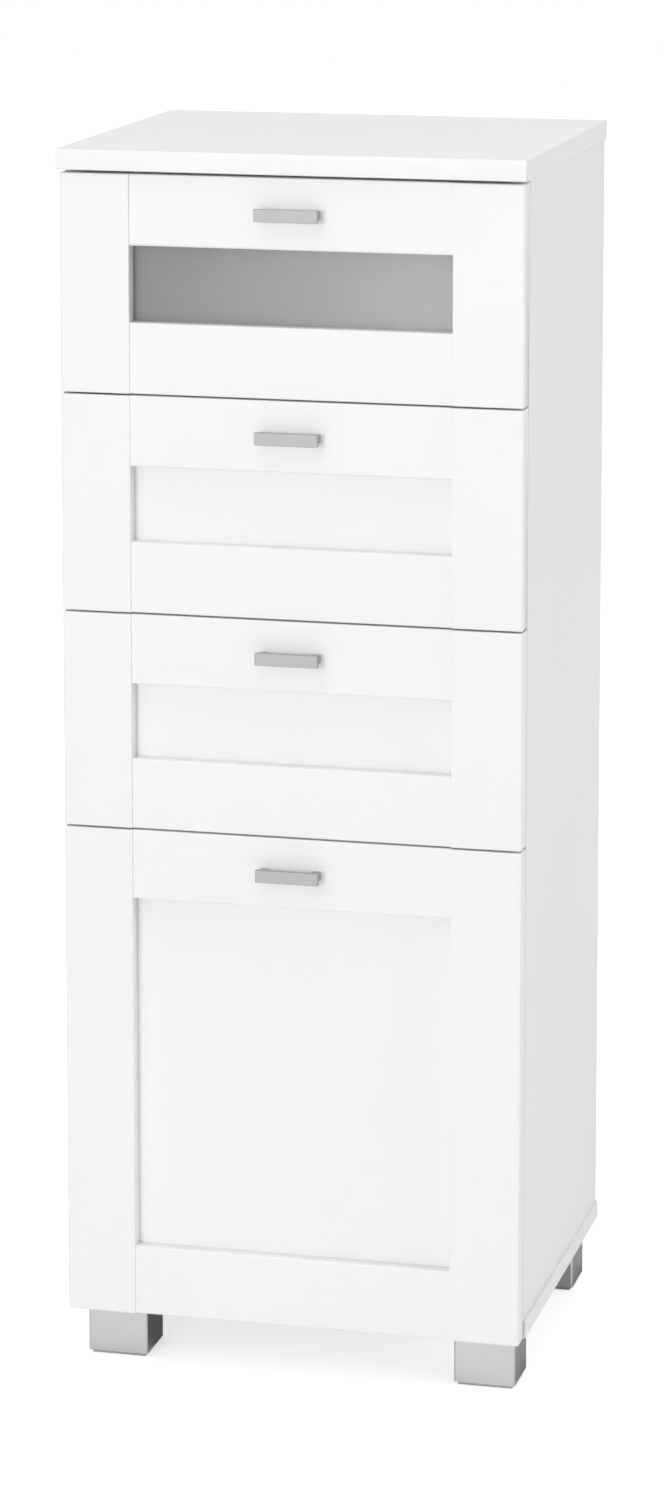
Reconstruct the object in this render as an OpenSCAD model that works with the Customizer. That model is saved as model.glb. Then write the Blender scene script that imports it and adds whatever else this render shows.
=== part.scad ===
// Bathroom side cabinet: three drawers above a tilt-out laundry flap, on four square metal feet.
// Millimetres, +Z up, the fronts face -Y. The origin lies on the floor, in the middle of the
// width and midway between the handles' front faces and the rear edges of the boards.
// Each paired piece is drawn at the right (+X) and mirrored to the left.

/* [Top panel] */
// Width of the top and base panels
top_w = 400; // [370:1:480]
// Depth of the top panel, front edge to rear edge
top_d = 350; // [330:1:400]
// Thickness of the top panel
top_t = 18; // [16:1:25]
// How far the top and base panels stand out past each side panel
side_lap = 2; // [0.5:0.5:6]
// How far the top panel stands out past the faces of the fronts
front_lap = 3; // [0.5:0.5:8]

/* [Carcass] */
// Thickness of the side panels, the base panel and the fixed shelf
board_t = 16; // [15:1:19]
// Thickness of the back panel
back_t = 3; // [2.5:0.5:4]
// Distance from the rear edges of the boards to the back panel
back_inset = 12; // [8:1:16]
// Depth of the grooves that hold the back panel
groove_depth = 6; // [4:0.5:7]
// Small chamfer on the edges of the top and base panels
edge_ease = 0.8; // [0.4:0.1:1.5]

/* [Fronts] */
// Height of each drawer front
drawer_front_h = 184.5; // [170:0.5:210]
// Height of the flap's front
flap_front_h = 427; // [400:1:460]
// Gap between one front and the next
front_gap = 1.5; // [1:0.5:4]
// Gap between the top drawer's front and the top panel
top_gap = 2.5; // [2:0.5:5]
// Gap between the fronts and the front edges of the carcass
front_standoff = 2; // [1.5:0.5:4]
// Width of the stiles, the upright members of a front
stile_w = 60; // [54:1:66]
// Thickness of the stiles
stile_t = 18; // [18:0.5:22]
// Height of the rails, the level members of a front
rail_h = 60; // [54:1:66]
// Thickness of the rails, whose faces lie behind the stiles' faces
rail_t = 16; // [15:0.5:17]
// Bevel along the stiles' front edges
stile_bevel = 1.5; // [0.5:0.1:2.5]
// Thickness of the filling panel or glass pane in each front
panel_t = 4; // [3:0.5:5]
// How far the filling panel laps behind the stiles and rails
panel_lap = 8; // [5:0.5:10]
// Length of the stub tenons at the rails' ends
tenon_l = 10; // [6:0.5:14]
// Thickness of the stub tenons
tenon_t = 5; // [4:0.5:6]

/* [Handles] */
// Length of the handle bar
handle_l = 54; // [44:1:96]
// Height of the handle bar
handle_h = 10.5; // [8:0.5:14]
// Thickness of the handle bar
handle_bar_t = 5; // [3:0.5:7]
// How far the handle stands out from the rail
handle_out = 16; // [13:0.5:24]
// Side of the square posts that carry the bar
handle_post = 7; // [6:0.5:8]
// Distance from each end of the bar to its post
handle_post_inset = 1; // [0.5:0.5:6]
// Distance from the front's upper edge to the middle of the handle
handle_drop = 30; // [22:1:38]

/* [Feet] */
// Width of each foot
foot_w = 53; // [44:1:60]
// Depth of each foot
foot_d = 50; // [44:1:60]
// Height of the metal foot
foot_h = 47; // [35:1:80]
// Wall of the hollow foot
foot_wall = 2; // [1.5:0.5:3]
// Radius of the foot's upright edges
foot_corner = 2; // [1.5:0.5:4]
// Distance from the top panel's side edge to the foot
foot_side_inset = 11; // [8:1:20]
// Distance from the top panel's front edge to the front feet
foot_front_inset = 33; // [30:1:60]
// Distance from the rear edges to the rear feet
foot_rear_inset = 13; // [8:1:40]
// How far the plastic glide stands below the foot
glide_h = 3; // [2:0.5:6]
// Distance from the foot's face to the glide's edge
glide_inset = 2.5; // [1:0.5:4]

/* [Drawer boxes] */
// Thickness of the drawer sides and back
box_t = 12; // [12:0.5:15]
// Height of the drawer sides
box_h = 110; // [96:1:130]
// Thickness of the drawer bottom
box_bottom_t = 3; // [3:0.5:5]
// Height of the drawer bottom above the lower edges of the drawer sides
box_bottom_rise = 10; // [6:1:14]
// Depth of the groove that holds the drawer bottom
box_groove = 5; // [3:0.5:6]
// Room between the drawer box and the back panel
box_back_gap = 14; // [8:1:30]

/* [Runners] */
// Space between the drawer box and the side panel, filled by one runner pair
runner_space = 12.5; // [12.5:0.5:14]
// Sheet thickness of the runners
runner_metal = 1.2; // [1:0.1:1.4]
// Height of the track above the lower edge of the drawer front
track_rise = 20; // [18:1:26]
// Clear height inside the cabinet runner
track_h = 24; // [23:0.5:28]
// Diameter of the rollers
roller_d = 19.4; // [17:0.1:19.6]
// Width of the rollers
roller_w = 6; // [5:0.5:6.5]
// Distance from a runner's end to its roller's axle
roller_inset = 14; // [12:0.5:20]
// Diameter of the roller axles
axle_d = 4; // [3:0.5:5]
// How far the drawers pull out before their rollers meet the stops
drawer_travel = 220; // [150:1:225]
// Height of the stops that stand up from the cabinet runner's track
stop_h = 3; // [2:0.5:5]

/* [Laundry flap] */
// Angle to which the flap tilts out
flap_open = 35; // [25:1:38]
// Outer diameter of the hinge knuckles
knuckle_d = 4.8; // [4.2:0.1:5.2]
// Diameter of the hinge pin
hinge_pin_d = 2.2; // [1.6:0.1:2.6]
// Sheet thickness of the hinge leaves
leaf_t = 0.8; // [0.6:0.1:1]
// Width of each hinge leaf beyond its knuckles
leaf_w = 10; // [9:0.5:11]
// Number of knuckles along the hinge
knuckles = 10; // [6:2:16]
// Distance from the hinge line to the middle of the stay's slot
stay_r = 110; // [90:1:130]
// Width of the stay's curved plate
stay_w = 16; // [14:1:22]
// Sheet thickness of the stays
stay_t = 2; // [1.5:0.5:3]
// Diameter of the guide pins that run in the stays
guide_d = 6; // [5:0.5:7]
// Depth of the laundry bin
bin_d = 190; // [150:1:210]
// Wall of the laundry bin
bin_wall = 2.5; // [2:0.5:4]
// Radius of the laundry bin's upright corners
bin_corner = 20; // [10:1:30]
// How far the bin's rim stands out
bin_rim = 6; // [5:0.5:8]
// Room between the bin's front wall and the flap
bin_standoff = 10; // [9.5:0.5:14]
// Room above the bin's rim as it swings under the shelf
bin_swing_gap = 16; // [8:1:30]
// Width of the bin's air slots
slot_w = 6; // [4:0.5:8]

/* [Hidden] */
$fn = 48;

// Colours
white = "#f4f4f2";
inner_white = "#ececea";
satin_metal = "#b9bbbd";
zinc = "#a9adb0";
frosted = "#9aa0a3";
light_plastic = "#c9cbcc";
nylon = "#e3e3de";

// Clearances
fit = 0.15;         // a panel or tenon in its groove, on each side
running = 0.05;     // a pin in its bore, on the radius
rolling = 0.3;      // a roller from its track, or a guide pin from its slot
lip = 0.1;          // how far a cut runs past the face that it opens

// Screws and connectors
drawers = 3;
screw_d = 3.5;
screw_l = 12;
back_screw_l = 30;
screw_head_d = 7;
screw_head_h = 1.2;
handle_screw_d = 4;
handle_screw_bite = 6;
handle_screw_head_d = 8;
handle_screw_head_h = 2.5;
bolt_d = 6;
bolt_bite = 10;
cam_set = 30;
carcass_cam_d = 15;
carcass_cam_h = 12;
carcass_cam_inset = 50;
box_cam_d = 12;
box_cam_h = 9.5;
box_bolt_d = 5;
box_cam_rise = [30, 88];

// Places along the depth
rail_setback = stile_t - rail_t;
back_y = (top_d - front_lap - rail_setback + handle_out) / 2;
top_front_y = back_y - top_d;
stile_face_y = top_front_y + front_lap;
rail_face_y = stile_face_y + rail_setback;
front_rear_y = stile_face_y + stile_t;
carcass_front_y = front_rear_y + front_standoff;
back_panel_y = back_y - back_inset - back_t;

// Places across the width
side_outer_x = top_w / 2 - side_lap;
side_inner_x = side_outer_x - board_t;
side_mid_x = side_outer_x - board_t / 2;
stile_inner_x = side_outer_x - stile_w;
box_outer_x = side_inner_x - runner_space;
box_inner_x = box_outer_x - box_t;

// Places along the height
base_z = glide_h + foot_h;
side_z = base_z + board_t;
drawer_pitch = drawer_front_h + front_gap;
top_z = base_z + flap_front_h + drawers * drawer_pitch + top_gap;
shelf_z = base_z + flap_front_h + front_gap / 2 - board_t / 2;

// Lower edge of the front of drawer i, with drawer 1 at the top
function drawer_z(i) = base_z + flap_front_h + front_gap + (drawers - i) * drawer_pitch;

// Upper face of the track that drawer i rolls on
function track_z(i) = drawer_z(i) + track_rise;

// Middles of the feet
foot_top_t = 3;
foot_x = top_w / 2 - foot_side_inset - foot_w / 2;
foot_front_y = top_front_y + foot_front_inset + foot_d / 2;
foot_rear_y = back_y - foot_rear_inset - foot_d / 2;

// Middle of each handle post
handle_post_x = handle_l / 2 - handle_post_inset - handle_post / 2;

// Drawer box and runners
box_lift = 2;
box_l = back_panel_y - box_back_gap - front_rear_y;
box_rear_y = front_rear_y + box_l;
runner_front_y = carcass_front_y + 2;
runner_rear_y = box_rear_y;
web_x = side_inner_x - runner_metal;
drawer_web_x = box_outer_x + runner_metal;
track_lip_gap = 1.8;
flange_lip_gap = 1.6;
runner_lip_x = drawer_web_x + track_lip_gap;
flange_x = web_x - flange_lip_gap;
roller_rise = rolling + roller_d / 2;
flange_rise = roller_rise + roller_d / 2 + rolling;
roller_end_gap = 0.4;
rivet_head_d = 7;
rivet_head_t = 1;
front_roller_y = runner_front_y + roller_inset;
rear_roller_y = runner_rear_y - roller_inset;
stop_reach = sqrt(pow(roller_d / 2, 2) - pow(roller_d / 2 + rolling - stop_h, 2)) + rolling;
stop_t = 2;
runner_screw_inset = 45;
runner_screw_rise = track_h / 2;
box_screw_tip_gap = 2;
box_screw_l = runner_metal + box_bottom_rise - box_screw_tip_gap;

// Lower edge of the sides of drawer i
function box_z(i) = track_z(i) + box_lift;

// Laundry flap
hinge_y = front_rear_y + front_standoff / 2;
hinge_z = base_z - knuckle_d / 2 - 0.2;
hinge_foot_gap = 11;
hinge_half = top_w / 2 - foot_side_inset - foot_w - hinge_foot_gap;
leaf_start = knuckle_d / 2 + 0.6;
tab_start = 1;
knuckle_gap = 0.3;
leaf_screws = 4;
leaf_screw_inset = 20;
guide_angle = 14;
stay_margin = 7;
stay_gap = 6;
stay_x = side_inner_x - stay_gap;
stay_flange_w = 16;
stay_flange_h = 42;
stay_screw_spread = 13;
guide_head_d = guide_d + 4;
guide_head_t = 1.5;
guide_thread_d = 4;
guide_thread_l = 10;
bin_side_gap = 22;
bin_x = side_inner_x - bin_side_gap;
bin_front_y = front_rear_y + bin_standoff;
bin_rear_y = bin_front_y + bin_d;
bin_floor_gap = 12;
bin_z = side_z + bin_floor_gap;
bin_reach = bin_rear_y + bin_rim - hinge_y;
bin_swing_r = shelf_z - hinge_z - bin_swing_gap;
bin_top_z = hinge_z + sqrt(bin_swing_r * bin_swing_r - bin_reach * bin_reach);
bin_rim_t = 3;
bin_rim_z = bin_top_z - bin_rim_t;
bin_lip_t = 2;
bin_lip_h = 8;
bin_pad_w = 24;
bin_pad_h = 20;
bin_pad_x = 110;
slot_pitch = 30;
slots_each_side = 4;
slot_end_gap = 80;
hanger_t = 1.5;
hanger_leg = 14;
hanger_end_gap = 4;
hanger_x = bin_x - hanger_end_gap;
hanger_low_z = bin_rim_z - bin_lip_h - 1;
hanger_up_y = bin_front_y - 2 - hanger_t;

// A box from its low corner to its high corner
module block(low, high) {
    translate(low) cube(high - low);
}

// A round bar along X, Y or Z from one coordinate to another
module rod_x(d, from, to, y, z) {
    translate([from, y, z]) rotate([0, 90, 0]) cylinder(d = d, h = to - from);
}

module rod_y(d, from, to, x, z) {
    translate([x, from, z]) rotate([-90, 0, 0]) cylinder(d = d, h = to - from);
}

module rod_z(d, from, to, x, y) {
    translate([x, y, from]) cylinder(d = d, h = to - from);
}

// Draws its children at the right and mirrored at the left
module both_sides() {
    children();
    mirror([1, 0, 0]) children();
}

// A rectangle with cut corners, from [0, 0] to the given size
module eased_rectangle(w, h, e) {
    polygon([[e, 0], [w - e, 0], [w, e], [w, h - e], [w - e, h], [e, h], [0, h - e], [0, e]]);
}

// A rectangle with round corners, centred
module rounded_rectangle(w, h, r) {
    square([w - 2 * r, h], center = true);
    square([w, h - 2 * r], center = true);
    for (x = [-1, 1], y = [-1, 1]) {
        translate([x * (w / 2 - r), y * (h / 2 - r)]) circle(r = r);
    }
}

// A board with all its edges eased, from its low corner to its high corner
module eased_board(low, high, e) {
    size = high - low;
    translate(low) intersection() {
        linear_extrude(size[2]) eased_rectangle(size[0], size[1], e);
        translate([0, size[1], 0]) rotate([90, 0, 0]) {
            linear_extrude(size[1]) eased_rectangle(size[0], size[2], e);
        }
        rotate([90, 0, 90]) linear_extrude(size[0]) eased_rectangle(size[1], size[2], e);
    }
}

// A flat-headed wood screw along +Z, the head's underside at the origin
module wood_screw(length) {
    cylinder(d = screw_d, h = length);
    translate([0, 0, -screw_head_h]) cylinder(d = screw_head_d, h = screw_head_h);
}

// The hole for that screw
module wood_screw_hole(length) {
    translate([0, 0, -lip]) cylinder(d = screw_d + 2 * running, h = length + 2 * lip);
}

// A joint bolt along Z and the cam that pulls it in. The joint's plane is z = 0, the bolt bites
// upwards, and the cam sits below in a board whose face is at y = -half.
module joint_bolt(d) {
    translate([0, 0, -cam_set]) cylinder(d = d, h = cam_set + bolt_bite);
}

module joint_bolt_hole(d) {
    low = -cam_set - fit;
    translate([0, 0, low]) cylinder(d = d + 2 * running, h = bolt_bite + lip - low);
}

module joint_cam(cam_d, cam_h, half, bolt) {
    difference() {
        rod_y(cam_d, -half, cam_h - half, 0, -cam_set);
        joint_bolt_hole(bolt);
    }
}

module joint_cam_pocket(cam_d, cam_h, half) {
    rod_y(cam_d + 2 * running, -half - lip, cam_h - half + running, 0, -cam_set);
}

// Where the carcass joints lie, at the right
module at_top_joints() {
    for (y = [carcass_front_y + carcass_cam_inset, back_panel_y - carcass_cam_inset]) {
        translate([side_mid_x, y, top_z]) rotate([0, 0, -90]) children();
    }
}

module at_base_joints() {
    for (y = [carcass_front_y + carcass_cam_inset, back_panel_y - carcass_cam_inset]) {
        translate([side_mid_x, y, side_z]) mirror([0, 0, 1]) rotate([0, 0, -90]) children();
    }
}

module at_shelf_joints() {
    for (y = [carcass_front_y + carcass_cam_inset, back_panel_y - carcass_cam_inset]) {
        translate([side_inner_x, y, shelf_z + board_t / 2]) rotate([90, 0, 90]) children();
    }
}

module carcass_bolt() {
    joint_bolt(bolt_d);
}

module carcass_bolt_hole() {
    joint_bolt_hole(bolt_d);
}

module carcass_cam() {
    joint_cam(carcass_cam_d, carcass_cam_h, board_t / 2, bolt_d);
}

module carcass_cam_pocket() {
    joint_cam_pocket(carcass_cam_d, carcass_cam_h, board_t / 2);
}

// Screws through the cabinet runner of drawer i into the side panel
module at_runner_screws(i) {
    for (y = [runner_front_y + runner_screw_inset, runner_rear_y - runner_screw_inset]) {
        translate([web_x, y, track_z(i) + runner_screw_rise]) rotate([0, 90, 0]) children();
    }
}

// Screws up through each foot's top plate into the base panel, given the foot's middle
module at_foot_screws(x, y) {
    for (s = [-1, 1]) {
        translate([x + s * foot_w / 4, y + s * foot_d / 4, base_z - foot_top_t]) children();
    }
}

module at_all_foot_screws() {
    for (x = [-foot_x, foot_x], y = [foot_front_y, foot_rear_y]) {
        at_foot_screws(x, y) children();
    }
}

// Screws up through a hinge leaf, dir = 1 for the base's leaf and -1 for the flap's
module at_leaf_screws(dir) {
    step = 2 * (hinge_half - leaf_screw_inset) / (leaf_screws - 1);
    for (k = [0:leaf_screws - 1]) {
        x = k * step - hinge_half + leaf_screw_inset;
        translate([x, hinge_y + dir * (leaf_start + leaf_w / 2), base_z - leaf_t]) children();
    }
}

// Carcass boards
module top_panel() {
    color(white) difference() {
        eased_board([-top_w / 2, top_front_y, top_z], [top_w / 2, back_y, top_z + top_t], edge_ease);
        back_groove_level(top_z, 1);
        both_sides() at_top_joints() carcass_bolt_hole();
    }
}

// The groove for the back panel in a level board whose face is at z, cut towards dir
module back_groove_level(z, dir) {
    reach = side_inner_x + groove_depth;
    low_z = dir > 0 ? z - lip : z - groove_depth;
    high_z = dir > 0 ? z + groove_depth : z + lip;
    block([-reach, back_panel_y - fit, low_z], [reach, back_panel_y + back_t + fit, high_z]);
}

module base_panel() {
    color(white) difference() {
        eased_board([-top_w / 2, carcass_front_y, base_z], [top_w / 2, back_y, side_z], edge_ease);
        back_groove_level(side_z, -1);
        both_sides() at_base_joints() carcass_bolt_hole();
        at_all_foot_screws() wood_screw_hole(screw_l);
        at_leaf_screws(1) wood_screw_hole(screw_l);
    }
}

module side_panel() {
    color(white) difference() {
        block([side_inner_x, carcass_front_y, side_z], [side_outer_x, back_y, top_z]);
        block(
            [side_inner_x - lip, back_panel_y - fit, side_z - lip],
            [side_inner_x + groove_depth, back_panel_y + back_t + fit, top_z + lip]
        );
        for (i = [1:drawers]) {
            at_runner_screws(i) wood_screw_hole(screw_l);
        }
        at_top_joints() {
            carcass_bolt_hole();
            carcass_cam_pocket();
        }
        at_base_joints() {
            carcass_bolt_hole();
            carcass_cam_pocket();
        }
        at_shelf_joints() carcass_bolt_hole();
        guide_pin_place() translate([0, 0, -guide_thread_l - lip]) {
            cylinder(d = guide_thread_d + 2 * running, h = guide_thread_l + 2 * lip);
        }
    }
}

module back_panel() {
    reach = side_inner_x + groove_depth - fit;
    color(inner_white) block(
        [-reach, back_panel_y, side_z - groove_depth + fit],
        [reach, back_panel_y + back_t, top_z + groove_depth - fit]
    );
}

module fixed_shelf() {
    color(white) difference() {
        block(
            [-side_inner_x, carcass_front_y, shelf_z],
            [side_inner_x, back_panel_y - fit, shelf_z + board_t]
        );
        both_sides() at_shelf_joints() {
            carcass_bolt_hole();
            carcass_cam_pocket();
        }
    }
}

module carcass_connectors() {
    color(zinc) both_sides() {
        at_top_joints() {
            carcass_bolt();
            carcass_cam();
        }
        at_base_joints() {
            carcass_bolt();
            carcass_cam();
        }
        at_shelf_joints() {
            carcass_bolt();
            carcass_cam();
        }
    }
}

module carcass_screws() {
    color(zinc) {
        both_sides() for (i = [1:drawers]) {
            at_runner_screws(i) wood_screw(screw_l);
        }
        at_all_foot_screws() wood_screw(screw_l);
        at_leaf_screws(1) wood_screw(screw_l);
    }
}

// Feet
module foot(x, y) {
    color(satin_metal) difference() {
        translate([x, y, glide_h]) linear_extrude(foot_h) {
            rounded_rectangle(foot_w, foot_d, foot_corner);
        }
        translate([x, y, glide_h - lip]) linear_extrude(foot_h - foot_top_t + lip) {
            square([foot_w - 2 * foot_wall, foot_d - 2 * foot_wall], center = true);
        }
        at_foot_screws(x, y) wood_screw_hole(screw_l);
    }
}

module foot_glides() {
    plug_w = foot_w - 2 * (foot_wall + fit);
    plug_d = foot_d - 2 * (foot_wall + fit);
    plug_h = 8;
    plug_wall = 3;
    color(light_plastic) for (x = [-foot_x, foot_x], y = [foot_front_y, foot_rear_y]) {
        translate([x, y, 0]) {
            linear_extrude(glide_h) {
                rounded_rectangle(foot_w - 2 * glide_inset, foot_d - 2 * glide_inset, foot_corner);
            }
            translate([0, 0, glide_h]) linear_extrude(plug_h) difference() {
                square([plug_w, plug_d], center = true);
                square([plug_w - 2 * plug_wall, plug_d - 2 * plug_wall], center = true);
            }
        }
    }
}

// Runners and rollers
module cabinet_runner(i) {
    z = track_z(i);
    difference() {
        union() {
            block(
                [web_x, runner_front_y, z - runner_metal],
                [side_inner_x, runner_rear_y, z + track_h + runner_metal]
            );
            block([runner_lip_x, runner_front_y, z - runner_metal], [side_inner_x, runner_rear_y, z]);
            block(
                [runner_lip_x, runner_front_y, z + track_h],
                [side_inner_x, runner_rear_y, z + track_h + runner_metal]
            );
            runner_stop(z, rear_roller_y - drawer_travel - stop_reach - stop_t);
            runner_stop(z, rear_roller_y + stop_reach);
        }
        at_runner_screws(i) wood_screw_hole(screw_l);
    }
    axle_end = web_x - 2 * roller_end_gap - roller_w;
    rod_x(axle_d, axle_end - rivet_head_t, web_x + lip, front_roller_y, z + roller_rise);
    rod_x(rivet_head_d, axle_end - rivet_head_t, axle_end, front_roller_y, z + roller_rise);
}

// A stop across the track, its front face at y
module runner_stop(z, y) {
    block([runner_lip_x, y, z - lip], [web_x + lip, y + stop_t, z + stop_h]);
}

module right_cabinet_runners() {
    color(white) for (i = [1:drawers]) {
        cabinet_runner(i);
    }
}

// Screws up through a drawer runner into the lower edge of the drawer side
module at_box_runner_screws(i) {
    for (y = [front_rear_y + runner_screw_inset, box_rear_y - runner_screw_inset]) {
        translate([box_outer_x - box_t / 2, y, box_z(i) - runner_metal]) children();
    }
}

module drawer_runner(i) {
    z = track_z(i);
    difference() {
        union() {
            block(
                [box_inner_x, front_rear_y, box_z(i) - runner_metal],
                [drawer_web_x, runner_rear_y, box_z(i)]
            );
            block(
                [box_outer_x, front_rear_y, box_z(i) - runner_metal],
                [drawer_web_x, runner_rear_y, z + flange_rise + runner_metal]
            );
            block(
                [box_outer_x, front_rear_y, z + flange_rise],
                [flange_x, rear_roller_y - roller_inset, z + flange_rise + runner_metal]
            );
        }
        at_box_runner_screws(i) wood_screw_hole(box_screw_l);
    }
    axle_end = drawer_web_x + 2 * roller_end_gap + roller_w;
    rod_x(axle_d, drawer_web_x - lip, axle_end + rivet_head_t, rear_roller_y, z + roller_rise);
    rod_x(rivet_head_d, axle_end, axle_end + rivet_head_t, rear_roller_y, z + roller_rise);
}

module drawer_runners(i) {
    color(white) both_sides() drawer_runner(i);
}

module roller(x, y, z) {
    difference() {
        rod_x(roller_d, x, x + roller_w, y, z);
        rod_x(axle_d + 2 * running, x - lip, x + roller_w + lip, y, z);
    }
}

module front_rollers(i) {
    color(nylon) both_sides() {
        roller(web_x - roller_end_gap - roller_w, front_roller_y, track_z(i) + roller_rise);
    }
}

module rear_rollers(i) {
    color(nylon) both_sides() {
        roller(drawer_web_x + roller_end_gap, rear_roller_y, track_z(i) + roller_rise);
    }
}

// Framed fronts: z is the lower edge, h the height
module stile(z, h) {
    difference() {
        translate([0, 0, z]) linear_extrude(h) polygon([
            [stile_inner_x, front_rear_y],
            [stile_inner_x, stile_face_y + stile_bevel],
            [stile_inner_x + stile_bevel, stile_face_y],
            [side_outer_x - stile_bevel, stile_face_y],
            [side_outer_x, stile_face_y + stile_bevel],
            [side_outer_x, front_rear_y]
        ]);
        panel_rebate(z, h);
        tenon(z, fit);
        tenon(z + h - rail_h, fit);
    }
}

module rail(z, h, at) {
    difference() {
        union() {
            block([-stile_inner_x, rail_face_y, at], [stile_inner_x, front_rear_y, at + rail_h]);
            both_sides() tenon(at, 0);
        }
        panel_rebate(z, h);
    }
}

// The stub tenon at the right end of the rail whose lower edge is at z, grown by slack
module tenon(z, slack) {
    shoulder = 10;
    tenon_set = 4;
    block(
        [stile_inner_x - lip, rail_face_y + tenon_set - slack, z + shoulder - slack],
        [
            stile_inner_x + tenon_l + slack,
            rail_face_y + tenon_set + tenon_t + slack,
            z + rail_h - shoulder - slack + 2 * slack
        ]
    );
}

// The pocket behind the frame that takes the panel or the glass
module panel_rebate(z, h) {
    reach = stile_inner_x + panel_lap;
    block(
        [-reach, front_rear_y - panel_t - fit, z + rail_h - panel_lap],
        [reach, front_rear_y + lip, z + h - rail_h + panel_lap]
    );
}

module filling_panel(z, h) {
    reach = stile_inner_x + panel_lap - fit;
    block(
        [-reach, front_rear_y - panel_t, z + rail_h - panel_lap + fit],
        [reach, front_rear_y, z + h - rail_h + panel_lap - fit]
    );
}

// Handles, with z at the upper edge of their front
module at_handle_screws(z) {
    for (x = [-handle_post_x, handle_post_x]) {
        translate([x, front_rear_y, z - handle_drop]) rotate([90, 0, 0]) children();
    }
}

module handle_screw() {
    cylinder(d = handle_screw_d, h = rail_t + handle_screw_bite);
    translate([0, 0, -handle_screw_head_h]) {
        cylinder(d = handle_screw_head_d, h = handle_screw_head_h);
    }
}

module handle_screw_hole() {
    translate([0, 0, -lip]) {
        cylinder(d = handle_screw_d + 2 * running, h = rail_t + handle_screw_bite + 2 * lip);
    }
}

module handle(z) {
    mid = z - handle_drop;
    front = rail_face_y - handle_out;
    color(satin_metal) difference() {
        union() {
            eased_board(
                [-handle_l / 2, front, mid - handle_h / 2],
                [handle_l / 2, front + handle_bar_t, mid + handle_h / 2],
                0.4
            );
            for (x = [-handle_post_x, handle_post_x]) {
                block(
                    [x - handle_post / 2, front + handle_bar_t - lip, mid - handle_post / 2],
                    [x + handle_post / 2, rail_face_y, mid + handle_post / 2]
                );
            }
        }
        at_handle_screws(z) handle_screw_hole();
    }
}

// Drawers
module at_box_front_joints(i) {
    for (rise = box_cam_rise) {
        translate([box_outer_x - box_t / 2, front_rear_y, box_z(i) + rise]) {
            rotate([0, 90, 0]) rotate([90, 0, 0]) children();
        }
    }
}

module at_box_back_screws(i) {
    for (rise = box_cam_rise) {
        translate([box_outer_x, box_rear_y - box_t / 2, box_z(i) + rise]) {
            rotate([0, -90, 0]) children();
        }
    }
}

// The groove that the drawer bottom slides in, in the sides and in the front
module box_bottom_groove(i) {
    reach = box_inner_x + box_groove;
    z = box_z(i) + box_bottom_rise;
    block(
        [-reach, front_rear_y - box_groove, z - fit],
        [reach, box_rear_y + lip, z + box_bottom_t + fit]
    );
}

module drawer_stiles(i) {
    color(white) both_sides() difference() {
        stile(drawer_z(i), drawer_front_h);
        box_bottom_groove(i);
        at_box_front_joints(i) joint_bolt_hole(box_bolt_d);
    }
}

module drawer_rails(i) {
    top_rail_z = drawer_z(i) + drawer_front_h - rail_h;
    color(white) difference() {
        union() {
            rail(drawer_z(i), drawer_front_h, drawer_z(i));
            rail(drawer_z(i), drawer_front_h, top_rail_z);
        }
        box_bottom_groove(i);
        at_handle_screws(drawer_z(i) + drawer_front_h) handle_screw_hole();
    }
}

module drawer_panel(i, shade) {
    color(shade) filling_panel(drawer_z(i), drawer_front_h);
}

module drawer_box_sides(i) {
    color(inner_white) both_sides() difference() {
        block([box_inner_x, front_rear_y, box_z(i)], [box_outer_x, box_rear_y, box_z(i) + box_h]);
        box_bottom_groove(i);
        at_box_front_joints(i) {
            joint_bolt_hole(box_bolt_d);
            joint_cam_pocket(box_cam_d, box_cam_h, box_t / 2);
        }
        at_box_back_screws(i) wood_screw_hole(back_screw_l);
        at_box_runner_screws(i) wood_screw_hole(box_screw_l);
    }
}

module drawer_box_back(i) {
    back_low_z = box_z(i) + box_bottom_rise + box_bottom_t + fit;
    color(inner_white) difference() {
        block(
            [-box_inner_x, box_rear_y - box_t, back_low_z],
            [box_inner_x, box_rear_y, box_z(i) + box_h]
        );
        both_sides() at_box_back_screws(i) wood_screw_hole(back_screw_l);
    }
}

module drawer_box_bottom(i) {
    reach = box_inner_x + box_groove - fit;
    z = box_z(i) + box_bottom_rise;
    color(inner_white) {
        block([-reach, front_rear_y - box_groove + fit, z], [reach, box_rear_y, z + box_bottom_t]);
    }
}

module drawer_handle(i) {
    handle(drawer_z(i) + drawer_front_h);
}

module drawer_fasteners(i) {
    color(zinc) {
        at_handle_screws(drawer_z(i) + drawer_front_h) handle_screw();
        both_sides() {
            at_box_front_joints(i) {
                joint_bolt(box_bolt_d);
                joint_cam(box_cam_d, box_cam_h, box_t / 2, box_bolt_d);
            }
            at_box_back_screws(i) wood_screw(back_screw_l);
            at_box_runner_screws(i) wood_screw(box_screw_l);
        }
    }
}

// Laundry flap. Angles are measured about the hinge line, from straight up towards the rear.
module about_hinge() {
    translate([0, hinge_y, hinge_z]) rotate([0, -90, 0]) children();
}

// The guide pin's seat on the right side panel, with +Z pointing to the middle of the cabinet
module guide_pin_place() {
    about_hinge() rotate([0, 0, guide_angle]) translate([stay_r, 0, -side_inner_x]) children();
}

module flap_guide_pins() {
    head_z = stay_gap + stay_t + rolling;
    color(zinc) both_sides() guide_pin_place() {
        translate([0, 0, -guide_thread_l]) cylinder(d = guide_thread_d, h = guide_thread_l + lip);
        cylinder(d = guide_d, h = head_z + lip);
        cylinder(d = guide_head_d, h = stay_gap - rolling);
        translate([0, 0, head_z]) cylinder(d = guide_head_d, h = guide_head_t);
    }
}

module at_stay_screws() {
    for (s = [-1, 1]) {
        translate([
            stay_x - stay_t - stay_flange_w / 2,
            front_rear_y + stay_t,
            hinge_z + stay_r + s * stay_screw_spread
        ]) rotate([90, 0, 0]) children();
    }
}

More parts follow.
